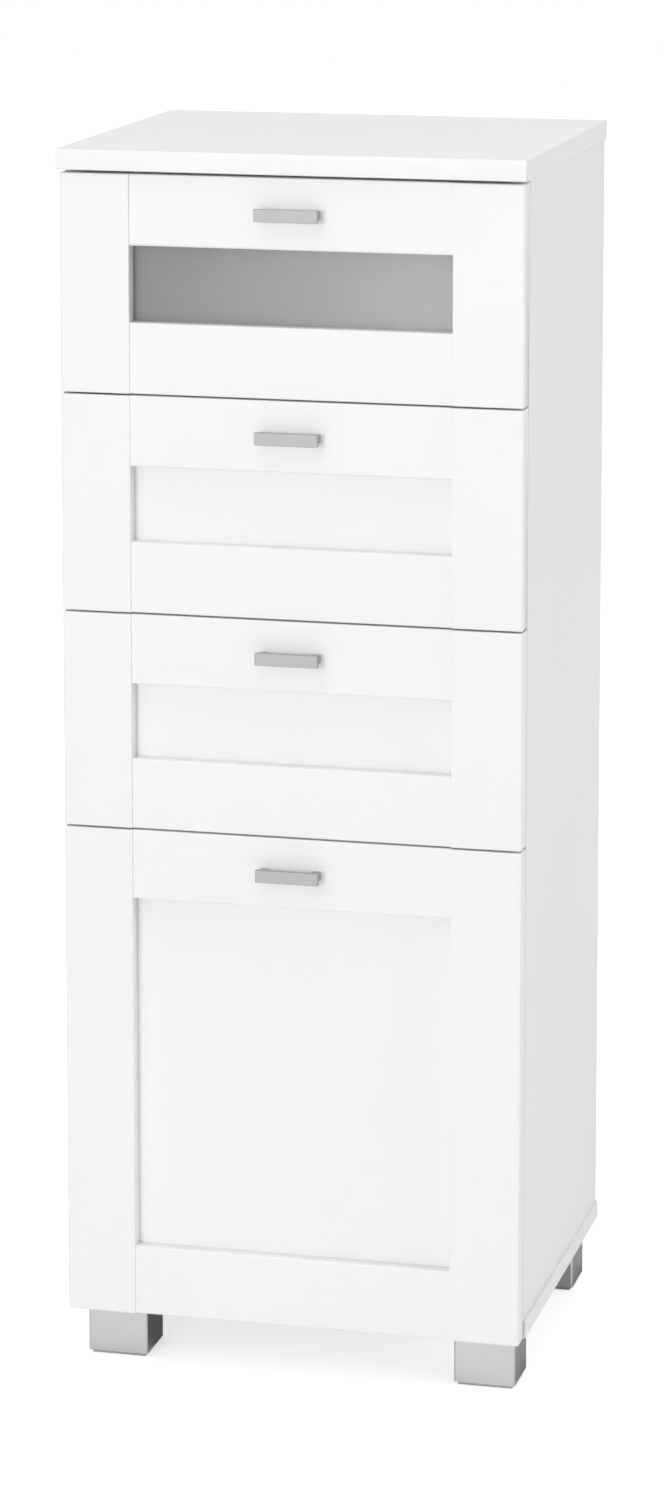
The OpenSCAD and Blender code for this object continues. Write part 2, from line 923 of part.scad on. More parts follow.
module stay() {
    far = guide_angle + flap_open;
    tip = asin(guide_d / stay_r) + stay_margin;
    slot_d = guide_d + 2 * rolling;
    difference() {
        union() {
            about_hinge() rotate_extrude(angle = far + tip, $fn = 96) {
                translate([stay_r - stay_w / 2, -stay_x]) square([stay_w, stay_t]);
            }
            block(
                [stay_x - stay_t, front_rear_y, hinge_z + stay_r - stay_w / 2],
                [stay_x, hinge_y + stay_t, hinge_z + stay_r + stay_w / 2 - stay_t]
            );
            block(
                [stay_x - stay_t - stay_flange_w, front_rear_y, hinge_z + stay_r - stay_flange_h / 2],
                [stay_x, front_rear_y + stay_t, hinge_z + stay_r + stay_flange_h / 2]
            );
        }
        about_hinge() {
            rotate([0, 0, guide_angle]) rotate_extrude(angle = flap_open, $fn = 96) {
                translate([stay_r - slot_d / 2, -stay_x - lip]) square([slot_d, stay_t + 2 * lip]);
            }
            for (a = [guide_angle, far]) {
                rotate([0, 0, a]) translate([stay_r, 0, -stay_x - lip]) {
                    cylinder(d = slot_d, h = stay_t + 2 * lip);
                }
            }
        }
        at_stay_screws() wood_screw_hole(screw_l);
    }
}

module flap_stays() {
    color(satin_metal) both_sides() stay();
}

// One hinge leaf, dir = 1 for the base's and -1 for the flap's. Knuckles alternate along X.
module hinge_leaf(dir, first) {
    pitch = 2 * hinge_half / knuckles;
    near = dir > 0 ? hinge_y + leaf_start : hinge_y - leaf_start - leaf_w;
    tab_near = dir > 0 ? hinge_y + tab_start : hinge_y - leaf_start - lip;
    tab_far = dir > 0 ? hinge_y + leaf_start + lip : hinge_y - tab_start;
    color(satin_metal) difference() {
        union() {
            block([-hinge_half, near, base_z - leaf_t], [hinge_half, near + leaf_w, base_z]);
            for (k = [first:2:knuckles - 1]) {
                low = k * pitch - hinge_half + knuckle_gap / 2;
                high = low + pitch - knuckle_gap;
                rod_x(knuckle_d, low, high, hinge_y, hinge_z);
                block([low, tab_near, base_z - leaf_t], [high, tab_far, base_z]);
            }
        }
        rod_x(hinge_pin_d + 2 * running, -hinge_half - lip, hinge_half + lip, hinge_y, hinge_z);
        at_leaf_screws(dir) wood_screw_hole(screw_l);
    }
}

module flap_hinge_pin() {
    color(zinc) rod_x(hinge_pin_d, -hinge_half, hinge_half, hinge_y, hinge_z);
}

module flap_stiles() {
    color(white) both_sides() difference() {
        stile(base_z, flap_front_h);
        at_stay_screws() wood_screw_hole(screw_l);
        at_hanger_screws() wood_screw_hole(screw_l);
    }
}

module flap_rails() {
    color(white) difference() {
        union() {
            rail(base_z, flap_front_h, base_z);
            rail(base_z, flap_front_h, base_z + flap_front_h - rail_h);
        }
        at_handle_screws(base_z + flap_front_h) handle_screw_hole();
        at_leaf_screws(-1) wood_screw_hole(screw_l);
    }
}

module flap_panel() {
    color(white) filling_panel(base_z, flap_front_h);
}

module flap_handle() {
    handle(base_z + flap_front_h);
}

// The rail that the bin's rim hooks on, and its screws into the stiles
module bin_hanger_rail() {
    color(satin_metal) difference() {
        union() {
            block(
                [-hanger_x, front_rear_y, hanger_low_z - hanger_leg],
                [hanger_x, front_rear_y + hanger_t, hanger_low_z]
            );
            block(
                [-hanger_x, front_rear_y, hanger_low_z - hanger_t],
                [hanger_x, hanger_up_y + hanger_t, hanger_low_z]
            );
            block(
                [-hanger_x, hanger_up_y, hanger_low_z - hanger_t],
                [hanger_x, hanger_up_y + hanger_t, bin_rim_z]
            );
        }
        both_sides() at_hanger_screws() wood_screw_hole(screw_l);
    }
}

module at_hanger_screws() {
    x = (stile_inner_x + panel_lap + hanger_x) / 2;
    translate([x, front_rear_y + hanger_t, hanger_low_z - hanger_t - hanger_leg / 2]) {
        rotate([90, 0, 0]) children();
    }
}

module laundry_bin() {
    w = 2 * bin_x;
    inner_w = w - 2 * bin_wall;
    inner_d = bin_d - 2 * bin_wall;
    mid_y = bin_front_y + bin_d / 2;
    color(white) difference() {
        union() {
            translate([0, mid_y, bin_z]) linear_extrude(bin_top_z - bin_z) {
                rounded_rectangle(w, bin_d, bin_corner);
            }
            translate([0, mid_y, bin_rim_z]) linear_extrude(bin_rim_t) {
                rounded_rectangle(w + 2 * bin_rim, bin_d + 2 * bin_rim, bin_corner + bin_rim);
            }
            block(
                [-hanger_x, bin_front_y - bin_rim, bin_rim_z - bin_lip_h],
                [hanger_x, bin_front_y - bin_rim + bin_lip_t, bin_rim_z + lip]
            );
            both_sides() block(
                [bin_pad_x - bin_pad_w / 2, front_rear_y, bin_z + bin_pad_h],
                [bin_pad_x + bin_pad_w / 2, bin_front_y + lip, bin_z + 2 * bin_pad_h]
            );
        }
        translate([0, mid_y, bin_z + bin_wall]) linear_extrude(bin_top_z - bin_z) {
            rounded_rectangle(inner_w, inner_d, bin_corner - bin_wall);
        }
        for (k = [-slots_each_side:slots_each_side]) {
            air_slot(k * slot_pitch, bin_rear_y - bin_wall - lip, bin_rear_y + lip);
        }
    }
}

// An upright air slot with round ends through the bin's rear wall
module air_slot(x, from, to) {
    low = bin_z + slot_end_gap;
    high = bin_rim_z - slot_end_gap;
    block([x - slot_w / 2, from, low], [x + slot_w / 2, to, high]);
    rod_y(slot_w, from, to, x, low);
    rod_y(slot_w, from, to, x, high);
}

module flap_fasteners() {
    color(zinc) {
        at_handle_screws(base_z + flap_front_h) handle_screw();
        at_leaf_screws(-1) wood_screw(screw_l);
        both_sides() {
            at_stay_screws() wood_screw(screw_l);
            at_hanger_screws() wood_screw(screw_l);
        }
    }
}

top_panel();
mirror([1, 0, 0]) side_panel();  // left_side_panel
side_panel();  // right_side_panel
base_panel();
back_panel();
fixed_shelf();
foot(-foot_x, foot_front_y);  // foot_front_left
foot(foot_x, foot_front_y);  // foot_front_right
foot(-foot_x, foot_rear_y);  // foot_rear_left
foot(foot_x, foot_rear_y);  // foot_rear_right
foot_glides();
mirror([1, 0, 0]) right_cabinet_runners();  // left_cabinet_runners
right_cabinet_runners();
carcass_connectors();
carcass_screws();
hinge_leaf(1, 0);  // flap_hinge_fixed_leaf
flap_hinge_pin();
flap_guide_pins();
drawer_stiles(1);  // drawer_1_stiles
drawer_rails(1);  // drawer_1_rails
drawer_panel(1, frosted);  // drawer_1_glass_pane
drawer_box_sides(1);  // drawer_1_box_sides
drawer_box_back(1);  // drawer_1_box_back
drawer_box_bottom(1);  // drawer_1_box_bottom
drawer_runners(1);  // drawer_1_runners
front_rollers(1);  // drawer_1_front_rollers
rear_rollers(1);  // drawer_1_rear_rollers
drawer_handle(1);  // drawer_1_handle
drawer_fasteners(1);  // drawer_1_fasteners
drawer_stiles(2);  // drawer_2_stiles
drawer_rails(2);  // drawer_2_rails
drawer_panel(2, white);  // drawer_2_panel
drawer_box_sides(2);  // drawer_2_box_sides
drawer_box_back(2);  // drawer_2_box_back
drawer_box_bottom(2);  // drawer_2_box_bottom
drawer_runners(2);  // drawer_2_runners
front_rollers(2);  // drawer_2_front_rollers
rear_rollers(2);  // drawer_2_rear_rollers
drawer_handle(2);  // drawer_2_handle
drawer_fasteners(2);  // drawer_2_fasteners
drawer_stiles(3);  // drawer_3_stiles
drawer_rails(3);  // drawer_3_rails
drawer_panel(3, white);  // drawer_3_panel
drawer_box_sides(3);  // drawer_3_box_sides
drawer_box_back(3);  // drawer_3_box_back
drawer_box_bottom(3);  // drawer_3_box_bottom
drawer_runners(3);  // drawer_3_runners
front_rollers(3);  // drawer_3_front_rollers
rear_rollers(3);  // drawer_3_rear_rollers
drawer_handle(3);  // drawer_3_handle
drawer_fasteners(3);  // drawer_3_fasteners
flap_stiles();
flap_rails();
flap_panel();
flap_handle();
flap_fasteners();
hinge_leaf(-1, 1);  // flap_hinge_moving_leaf
flap_stays();
laundry_bin();
bin_hanger_rail();
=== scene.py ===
import math

import bmesh
import bpy
from mathutils import Matrix, Vector


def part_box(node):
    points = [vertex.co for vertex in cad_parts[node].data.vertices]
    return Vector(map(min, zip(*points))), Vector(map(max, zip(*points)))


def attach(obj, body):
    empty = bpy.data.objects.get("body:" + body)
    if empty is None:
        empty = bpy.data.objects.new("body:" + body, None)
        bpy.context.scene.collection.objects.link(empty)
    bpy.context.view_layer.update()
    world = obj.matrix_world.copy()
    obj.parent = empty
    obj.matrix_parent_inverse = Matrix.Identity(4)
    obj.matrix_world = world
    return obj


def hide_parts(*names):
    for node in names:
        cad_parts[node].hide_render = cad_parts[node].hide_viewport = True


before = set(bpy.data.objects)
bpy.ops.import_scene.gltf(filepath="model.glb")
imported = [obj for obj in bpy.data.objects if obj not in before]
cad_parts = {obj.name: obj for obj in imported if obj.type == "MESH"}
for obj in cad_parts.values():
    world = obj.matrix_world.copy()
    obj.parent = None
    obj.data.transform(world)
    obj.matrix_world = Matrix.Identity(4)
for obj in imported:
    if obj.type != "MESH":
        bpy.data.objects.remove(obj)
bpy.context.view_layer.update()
print("frame loaded with", len(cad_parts), "nodes")

# Node helpers

def feed(tree, node, inputs):
    # Links each input to the socket that is given for it, or sets it to the value
    for key, value in inputs.items():
        socket = node.inputs[key]
        if isinstance(value, bpy.types.NodeSocket):
            tree.links.new(value, socket)
        else:
            socket.default_value = (*value, 1) if socket.type == "RGBA" else value


def put(tree, kind, inputs=None, **settings):
    node = tree.nodes.new(kind)
    for key, value in settings.items():
        setattr(node, key, value)
    feed(tree, node, inputs or {})
    return node


def newGroup(name, inputs, outputs):
    # Gives the group, the sockets of its input node and its output node
    group = bpy.data.node_groups.new(name, "ShaderNodeTree")
    for way, sockets in (("INPUT", inputs), ("OUTPUT", outputs)):
        for socketName, kind in sockets.items():
            group.interface.new_socket(name=socketName, in_out=way, socket_type="NodeSocket" + kind)
    return group, group.nodes.new("NodeGroupInput").outputs, group.nodes.new("NodeGroupOutput")


def calculate(tree, operation, *terms, clamp=False):
    return put(tree, "ShaderNodeMath", dict(enumerate(terms)),
               operation=operation, use_clamp=clamp).outputs[0]


def mapRange(tree, source, low, high, fromLow=0.3, fromHigh=0.7):
    # The default range is where most of a noise texture's values lie
    return put(tree, "ShaderNodeMapRange", {
        "Value": source, "From Min": fromLow, "From Max": fromHigh,
        "To Min": low, "To Max": high}).outputs["Result"]


def mixTones(tree, mask, toneA, toneB):
    # Tone A where the mask is 0, tone B where it is 1. For colours, a mix node has
    # the inputs 6 and 7 and the output 2.
    return put(tree, "ShaderNodeMix", {"Factor": mask, 6: toneA, 7: toneB},
               data_type="RGBA").outputs[2]


# Camera and light

cameraSettings = {
    "place": (0.967, -3.907, 1.458),
    "turn": 13.96,  # degrees to the left of straight ahead
    "tilt": 8.63,  # degrees downwards
    "lens": 113.4,
    "sensor": 36.0,
    "shift": -0.25,
}


def makeCamera(settings):
    data = bpy.data.cameras.new("camera")
    data.lens = settings["lens"]
    data.sensor_width = settings["sensor"]
    data.shift_y = settings["shift"]
    camera = bpy.data.objects.new("camera", data)
    camera.location = settings["place"]
    camera.rotation_euler = (math.radians(90 - settings["tilt"]), 0, math.radians(settings["turn"]))
    bpy.context.scene.collection.objects.link(camera)
    bpy.context.scene.camera = camera


lightSettings = {
    "aim": (0.0, 0.0, 0.55),
    "softboxes": {
        "frontLight": {"place": (-1.24, -7.82, 1.71), "size": 1.8, "power": 177},
        "leftLight": {"place": (-2.70, -5.29, 4.31), "size": 2.2, "power": 32},
        "sideLight": {"place": (6.69, -0.70, 2.53), "size": 2.6, "power": 60},
        "rightLight": {"place": (5.28, -0.93, 5.10), "size": 2.6, "power": 60},
        "topLight": {"place": (0.0, -0.35, 5.59), "size": 3.0, "power": 54},
        "frontTopLight": {"place": (-0.65, -2.42, 4.93), "size": 2.5, "power": 22},
    },
    "ambient": 0.40,
    "backdrop": 1.0,
}


def makeLights(settings):
    aim = Vector(settings["aim"])
    for name, box in settings["softboxes"].items():
        data = bpy.data.lights.new(name, "AREA")
        data.size = box["size"]
        data.energy = box["power"]
        light = bpy.data.objects.new(name, data)
        light.location = box["place"]
        light.visible_camera = False
        light.rotation_euler = (aim - light.location).to_track_quat("-Z", "Y").to_euler()
        bpy.context.scene.collection.objects.link(light)


def seenBy(tree, mirrorShare=1.0):
    # 1 where the camera or a clear pane looks, the share where a reflection does,
    # 0 for the light that falls on surfaces
    path = put(tree, "ShaderNodeLightPath").outputs
    mirrored = calculate(tree, "MULTIPLY", path["Is Glossy Ray"], mirrorShare)
    direct = calculate(tree, "MAXIMUM", path["Is Camera Ray"], path["Is Transmission Ray"])
    return calculate(tree, "MAXIMUM", direct, mirrored)


def makeWorld(settings):
    # The surroundings look white, and less light comes from them than that
    world = bpy.data.worlds.new("studio")
    world.use_nodes = True
    bpy.context.scene.world = world
    tree = world.node_tree
    tree.nodes.clear()
    falling, seen = (put(tree, "ShaderNodeBackground", {
        "Color": (1, 1, 1), "Strength": settings[key]}).outputs[0]
        for key in ("ambient", "backdrop"))
    both = put(tree, "ShaderNodeMixShader", {0: seenBy(tree), 1: falling, 2: seen})
    put(tree, "ShaderNodeOutputWorld", {"Surface": both.outputs[0]})


# Effects that several finishes share

effectSettings = {
    "middle": 0.5,  # of a noise texture's values
    "sheenClouds": 0.6,  # how much the clouds count beside the orange peel
    "sheenRange": (0.5, 1.1),
    "warpScale": 35.0,
    "warp": 0.02,
    "hairline": 0.012,  # over the size of the cells between the scratches
    "patchScale": 22.0,
    "patchRange": (0.52, 0.62),
}


def makeSoftSkin(settings):
    # Slow clouds of tone and sheen over a fine orange peel, as on foil, lacquer and moulded plastic
    group, give, end = newGroup("softSkin", {
        "Vector": "Vector", "Tone A": "Color", "Tone B": "Color", "Cloud Scale": "Float",
        "Peel Scale": "Float", "Rough Low": "Float", "Rough High": "Float",
    }, {"Colour": "Color", "Roughness": "Float", "Height": "Float"})
    clouds = put(group, "ShaderNodeTexNoise", {
        "Vector": give["Vector"], "Scale": give["Cloud Scale"],
        "Detail": 4.0, "Roughness": 0.6}).outputs["Fac"]
    peel = put(group, "ShaderNodeTexNoise", {
        "Vector": give["Vector"], "Scale": give["Peel Scale"], "Detail": 2.0}).outputs["Fac"]
    tone = mixTones(group, mapRange(group, clouds, 0.0, 1.0), give["Tone A"], give["Tone B"])
    sheen = calculate(group, "MULTIPLY_ADD", clouds, settings["sheenClouds"], peel)
    rough = mapRange(group, sheen, give["Rough Low"], give["Rough High"], *settings["sheenRange"])
    feed(group, end, {"Colour": tone, "Roughness": rough, "Height": peel})
    return group


def makeGrainLines(settings):
    # Long fine lines, as brushing leaves on metal. The Vector comes in stretched along the lines.
    group, give, end = newGroup("grainLines", {
        "Vector": "Vector", "Line Scale": "Float", "Contrast": "Float",
    }, {"Mask": "Float", "Height": "Float"})
    lines = put(group, "ShaderNodeTexNoise", {
        "Vector": give["Vector"], "Scale": give["Line Scale"],
        "Detail": 5.0, "Roughness": 0.7}).outputs["Fac"]
    offset = calculate(group, "SUBTRACT", lines, settings["middle"])
    mask = calculate(group, "MULTIPLY_ADD", offset, give["Contrast"], settings["middle"],
                     clamp=True)
    feed(group, end, {"Mask": mask, "Height": lines})
    return group


def makeRubMarks(settings):
    # Hairline scratches, here and there in patches
    group, give, end = newGroup("rubMarks", {
        "Vector": "Vector", "Mark Scale": "Float", "Amount": "Float"}, {"Mask": "Float"})
    warp = put(group, "ShaderNodeTexNoise", {
        "Vector": give["Vector"], "Scale": settings["warpScale"], "Detail": 1.0})
    bent = put(group, "ShaderNodeVectorMath", {
        0: warp.outputs["Color"], 1: (settings["warp"],) * 3, 2: give["Vector"],
    }, operation="MULTIPLY_ADD")
    cells = put(group, "ShaderNodeTexVoronoi", {
        "Vector": bent.outputs[0], "Scale": give["Mark Scale"]}, feature="DISTANCE_TO_EDGE")
    hairline = mapRange(group, cells.outputs["Distance"], 1.0, 0.0, 0.0, settings["hairline"])
    patches = put(group, "ShaderNodeTexNoise", {
        "Vector": give["Vector"], "Scale": settings["patchScale"], "Detail": 3.0})
    where = mapRange(group, patches.outputs["Fac"], 0.0, 1.0, *settings["patchRange"])
    found = calculate(group, "MULTIPLY", hairline, where)
    feed(group, end, {"Mask": calculate(group, "MULTIPLY", found, give["Amount"], clamp=True)})
    return group


def makeSpangle():
    # The crystals of a zinc coat
    group, give, end = newGroup("spangle", {
        "Vector": "Vector", "Flake Scale": "Float"}, {"Mask": "Float"})
    flakes = put(group, "ShaderNodeTexVoronoi", {
        "Vector": give["Vector"], "Scale": give["Flake Scale"], "Randomness": 1.0})
    grey = put(group, "ShaderNodeRGBToBW", {"Color": flakes.outputs["Color"]})
    feed(group, end, {"Mask": grey.outputs[0]})
    return group


effects = {
    "softSkin": makeSoftSkin(effectSettings),
    "grainLines": makeGrainLines(effectSettings),
    "rubMarks": makeRubMarks(effectSettings),
    "spangle": makeSpangle(),
}


def startFinish(name):
    finish = bpy.data.materials.new(name)
    finish.use_nodes = True
    tree = finish.node_tree
    tree.nodes.clear()
    shader = put(tree, "ShaderNodeBsdfPrincipled")
    put(tree, "ShaderNodeOutputMaterial", {"Surface": shader.outputs["BSDF"]})
    coords = put(tree, "ShaderNodeTexCoord").outputs["Object"]
    return finish, tree, shader, coords


def useEffect(tree, name, vector, inputs):
    return put(tree, "ShaderNodeGroup", {"Vector": vector, **inputs},
               node_tree=effects[name]).outputs


def useSkin(tree, coords, look, tones=()):
    return useEffect(tree, "softSkin", coords, {
        "Cloud Scale": look["cloudScale"], "Peel Scale": look["peelScale"],
        "Rough Low": look["rough"][0], "Rough High": look["rough"][1],
        **dict(zip(("Tone A", "Tone B"), tones))})


def addMarks(tree, coords, look, tone):
    marks = useEffect(tree, "rubMarks", coords, {
        "Mark Scale": look["markScale"], "Amount": look["marks"]})
    return mixTones(tree, marks["Mask"], tone, look["markTone"])


def bumpOf(tree, height, depth):
    return put(tree, "ShaderNodeBump", {
        "Height": height, "Distance": depth, "Strength": 1.0}).outputs["Normal"]


# Finishes

def makeSkinFinish(name, look):
    # White foil, lacquer, powder coat or moulded plastic
    finish, tree, shader, coords = startFinish(name)
    skin = useSkin(tree, coords, look, (look["toneA"], look["toneB"]))
    feed(tree, shader, {
        "Base Color": addMarks(tree, coords, look, skin["Colour"]),
        "Roughness": skin["Roughness"], "Specular IOR Level": look["gloss"],
        "Normal": bumpOf(tree, skin["Height"], look["peelDepth"])})
    return finish


def feedMetal(tree, shader, coords, look, mask):
    tone = mixTones(tree, mask, look["toneA"], look["toneB"])
    feed(tree, shader, {
        "Base Color": addMarks(tree, coords, look, tone),
        "Roughness": mapRange(tree, mask, *look["rough"], 0.0, 1.0),
        "Metallic": look["metallic"]})


def makeMetalFinish(name, look):
    # Satin or brushed metal, with its lines along one axis
    finish, tree, shader, coords = startFinish(name)
    stretched = put(tree, "ShaderNodeMapping", {"Vector": coords, "Scale": look["stretch"]})
    lines = useEffect(tree, "grainLines", stretched.outputs[0], {
        "Line Scale": look["lineScale"], "Contrast": look["contrast"]})
    feedMetal(tree, shader, coords, look, lines["Mask"])
    feed(tree, shader, {
        "Specular Tint": (look["edgeTint"],) * 3,
        "Normal": bumpOf(tree, lines["Height"], look["lineDepth"])})
    return finish


def makeZincFinish(name, look):
    finish, tree, shader, coords = startFinish(name)
    flakes = useEffect(tree, "spangle", coords, {"Flake Scale": look["flakeScale"]})
    feedMetal(tree, shader, coords, look, flakes["Mask"])
    feed(tree, shader, {"Normal": bumpOf(tree, flakes["Mask"], look["flakeDepth"])})
    return finish


def makeGlassFinish(name, look):
    # Satin-etched glass: it holds part of the light and passes the rest on, softly blurred. Its
    # base colour is painted darker at the left of the pane and lighter at the right: painted shade
    # beside the left stile and painted light towards the right.
    finish, tree, shader, coords = startFinish(name)
    paintedShadingAcross = put(tree, "ShaderNodeSeparateXYZ", {0: coords}).outputs["X"]
    # 0 at the left of the pane and 1 at the right, to blend the painted shade into the painted
    # light
    side = mapRange(tree, paintedShadingAcross, 0.0, 1.0, -look["halfWidth"], look["halfWidth"])
    tones = [mixTones(tree, side, *look[key]) for key in ("paintedShadingTonesA", "paintedShadingTonesB")]
    skin = useSkin(tree, coords, look, tones)
    feed(tree, shader, {
        "Base Color": skin["Colour"], "Roughness": skin["Roughness"],
        "Transmission Weight": look["clear"], "IOR": look["ior"],
        "Normal": bumpOf(tree, skin["Height"], look["peelDepth"])})
    return finish


looks = {
    "frontFoil": {
        "toneA": (0.900, 0.900, 0.897), "toneB": (0.884, 0.884, 0.882), "cloudScale": 5.0,
        "peelScale": 620.0, "rough": (0.34, 0.46), "gloss": 0.42, "peelDepth": 0.00003,
        "markScale": 9.0, "marks": 0.05, "markTone": (0.86, 0.86, 0.86),
    },
    "boardFoil": {
        "toneA": (0.896, 0.896, 0.893), "toneB": (0.880, 0.880, 0.878), "cloudScale": 3.0,
        "peelScale": 480.0, "rough": (0.38, 0.50), "gloss": 0.40, "peelDepth": 0.00004,
        "markScale": 7.0, "marks": 0.06, "markTone": (0.86, 0.86, 0.86),
    },
    "edgeBand": {
        "toneA": (0.902, 0.902, 0.900), "toneB": (0.890, 0.890, 0.888), "cloudScale": 12.0,
        "peelScale": 900.0, "rough": (0.38, 0.48), "gloss": 0.42, "peelDepth": 0.00002,
        "markScale": 20.0, "marks": 0.05, "markTone": (0.84, 0.84, 0.84),
    },
    "drawerFoil": {
        "toneA": (0.865, 0.865, 0.855), "toneB": (0.842, 0.842, 0.832), "cloudScale": 6.0,
        "peelScale": 420.0, "rough": (0.46, 0.58), "gloss": 0.35, "peelDepth": 0.00005,
        "markScale": 14.0, "marks": 0.18, "markTone": (0.74, 0.74, 0.73),
    },
    "backLacquer": {
        "toneA": (0.880, 0.880, 0.865), "toneB": (0.850, 0.850, 0.835), "cloudScale": 14.0,
        "peelScale": 260.0, "rough": (0.52, 0.68), "gloss": 0.30, "peelDepth": 0.00008,
        "markScale": 12.0, "marks": 0.15, "markTone": (0.78, 0.77, 0.75),
    },
    "runnerCoat": {
        "toneA": (0.855, 0.855, 0.845), "toneB": (0.83, 0.83, 0.82), "cloudScale": 18.0,
        "peelScale": 520.0, "rough": (0.30, 0.42), "gloss": 0.5, "peelDepth": 0.00006,
        "markScale": 40.0, "marks": 0.5, "markTone": (0.60, 0.60, 0.60),
    },
    "binPlastic": {
        "toneA": (0.885, 0.885, 0.875), "toneB": (0.865, 0.865, 0.855), "cloudScale": 8.0,
        "peelScale": 800.0, "rough": (0.38, 0.50), "gloss": 0.5, "peelDepth": 0.00006,
        "markScale": 16.0, "marks": 0.25, "markTone": (0.80, 0.80, 0.79),
    },
    "rollerNylon": {
        "toneA": (0.80, 0.80, 0.77), "toneB": (0.76, 0.76, 0.73), "cloudScale": 60.0,
        "peelScale": 1500.0, "rough": (0.32, 0.45), "gloss": 0.5, "peelDepth": 0.00003,
        "markScale": 90.0, "marks": 0.5, "markTone": (0.62, 0.62, 0.60),
    },
    "glidePlastic": {
        "toneA": (0.44, 0.44, 0.44), "toneB": (0.40, 0.40, 0.40), "cloudScale": 40.0,
        "peelScale": 1300.0, "rough": (0.45, 0.60), "gloss": 0.5, "peelDepth": 0.00005,
        "markScale": 60.0, "marks": 0.4, "markTone": (0.34, 0.34, 0.34),
    },
}
metalLooks = {
    "handleSatin": {
        "toneA": (0.375, 0.375, 0.375), "toneB": (0.405, 0.405, 0.405), "metallic": 0.9,
        "edgeTint": 0.9, "stretch": (0.06, 1.0, 1.0), "lineScale": 2600.0, "contrast": 1.2,
        "rough": (0.58, 0.68), "lineDepth": 0.000012,
        "markScale": 120.0, "marks": 0.2, "markTone": (0.44, 0.44, 0.44),
    },
    "footSatin": {
        "toneA": (0.465, 0.465, 0.465), "toneB": (0.495, 0.495, 0.495), "metallic": 1.0,
        "edgeTint": 0.40, "stretch": (1.0, 1.0, 0.05), "lineScale": 2200.0, "contrast": 1.2,
        "rough": (0.27, 0.36), "lineDepth": 0.000008,
        "markScale": 80.0, "marks": 0.25, "markTone": (0.72, 0.72, 0.72),
    },
    "brightSteel": {
        "toneA": (0.62, 0.62, 0.62), "toneB": (0.70, 0.70, 0.70), "metallic": 0.95,
        "edgeTint": 1.0, "stretch": (0.06, 1.0, 1.0), "lineScale": 1800.0, "contrast": 1.4,
        "rough": (0.26, 0.38), "lineDepth": 0.000010,
        "markScale": 90.0, "marks": 0.35, "markTone": (0.5, 0.5, 0.5),
    },
}
zincLook = {
    "toneA": (0.54, 0.55, 0.56), "toneB": (0.66, 0.66, 0.66), "metallic": 0.9,
    "flakeScale": 900.0, "rough": (0.30, 0.48), "flakeDepth": 0.00001,
    "markScale": 150.0, "marks": 0.4, "markTone": (0.42, 0.42, 0.42),
}
glassLook = {
    "halfWidth": 0.13,
    "paintedShadingTonesA": ((0.450, 0.453, 0.455), (0.745, 0.748, 0.750)),  # at the left, darker as painted shade, and at the right, lighter as painted light
    "paintedShadingTonesB": ((0.430, 0.433, 0.435), (0.715, 0.718, 0.720)),
    "cloudScale": 7.0, "peelScale": 2200.0, "rough": (0.42, 0.52), "clear": 0.5, "ior": 1.45,
    "peelDepth": 0.00002,
}

makeWorld(lightSettings)
makeCamera(cameraSettings)
makeLights(lightSettings)
finishes = {name: makeSkinFinish(name, look) for name, look in looks.items()}
finishes.update({name: makeMetalFinish(name, look) for name, look in metalLooks.items()})
finishes["zincCoat"] = makeZincFinish("zincCoat", zincLook)
finishes["etchedGlass"] = makeGlassFinish("etchedGlass", glassLook)
print("camera, lights and", len(finishes), "finishes made")

# Mesh helpers

edgeAngle = math.radians(40)  # edges that bend more than this stay sharp
flatAngle = math.radians(1)  # faces that bend by less than this become one
squareBend = (1.2, 3.0)  # in radians, what a square corner bends by
mergeDistance = 0.000001
closeEnough = 0.0001  # how near two heights lie that count as one
alongShare = 0.9  # of its length, an edge runs that far along an axis that it follows
facingShare = 0.5  # a face looks away from an axis when its normal has less of it


def addBlock(bm, low, high):
    place = Matrix.Translation((low + high) / 2) @ Matrix.Diagonal((*(high - low), 1))
    return bmesh.ops.create_cube(bm, size=1, matrix=place)["verts"]


def middleAndWay(edge):
    first, second = (vert.co for vert in edge.verts)
    return (first + second) / 2, second - first


def edgesOf(verts, test=None):
    edges = dict.fromkeys(edge for vert in verts for edge in vert.link_edges)
    return [edge for edge in edges if test is None or test(*middleAndWay(edge))]


def levelOf(face):
    return face.calc_center_median().z


def roundEdges(bm, edges, width, segments=3):
    bmesh.ops.bevel(bm, geom=edges, offset=width, offset_type="OFFSET", affect="EDGES",
                    segments=segments, profile=0.5, material=-1, clamp_overlap=True)


def insetFace(bm, face, width):
    bmesh.ops.inset_region(bm, faces=[face], thickness=width, use_even_offset=True)


def along(direction, axis):
    return abs(direction[axis]) > alongShare * direction.length


def upright(middle, way):
    return along(way, 2)


def frontToBack(middle, way):
    return along(way, 1)


def finishPiece(name, bm, body, coats, nodes, sharpFrom=edgeAngle):
    mesh = bpy.data.meshes.new(name)
    bm.to_mesh(mesh)
    bm.free()
    mesh.shade_smooth()
    mesh.set_sharp_from_angle(angle=sharpFrom)
    for coat in coats:
        mesh.materials.append(finishes[coat])
    piece = bpy.data.objects.new(name, mesh)
    bpy.context.scene.collection.objects.link(piece)
    even = piece.modifiers.new("evenNormals", "WEIGHTED_NORMAL")
    even.keep_sharp = True
    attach(piece, body)
    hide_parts(*nodes)
    return piece


def solidsOf(node):
    # The corner points of each separate solid in a CAD node
    bm = bmesh.new()
    bm.from_mesh(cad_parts[node].data)
    bmesh.ops.remove_doubles(bm, verts=bm.verts[:], dist=mergeDistance)
    seen, solids = set(), []
    for first in bm.verts:
        if first in seen:
            continue
        seen.add(first)
        waiting, points = [first], []
        while waiting:
            vert = waiting.pop()
            points.append(vert.co.copy())
            for edge in vert.link_edges:
                other = edge.other_vert(vert)
                if other not in seen:
                    seen.add(other)
                    waiting.append(other)
        solids.append(points)
    bm.free()
    return solids


def span(points):
    return (Vector([min(p[i] for p in points) for i in range(3)]),
            Vector([max(p[i] for p in points) for i in range(3)]))


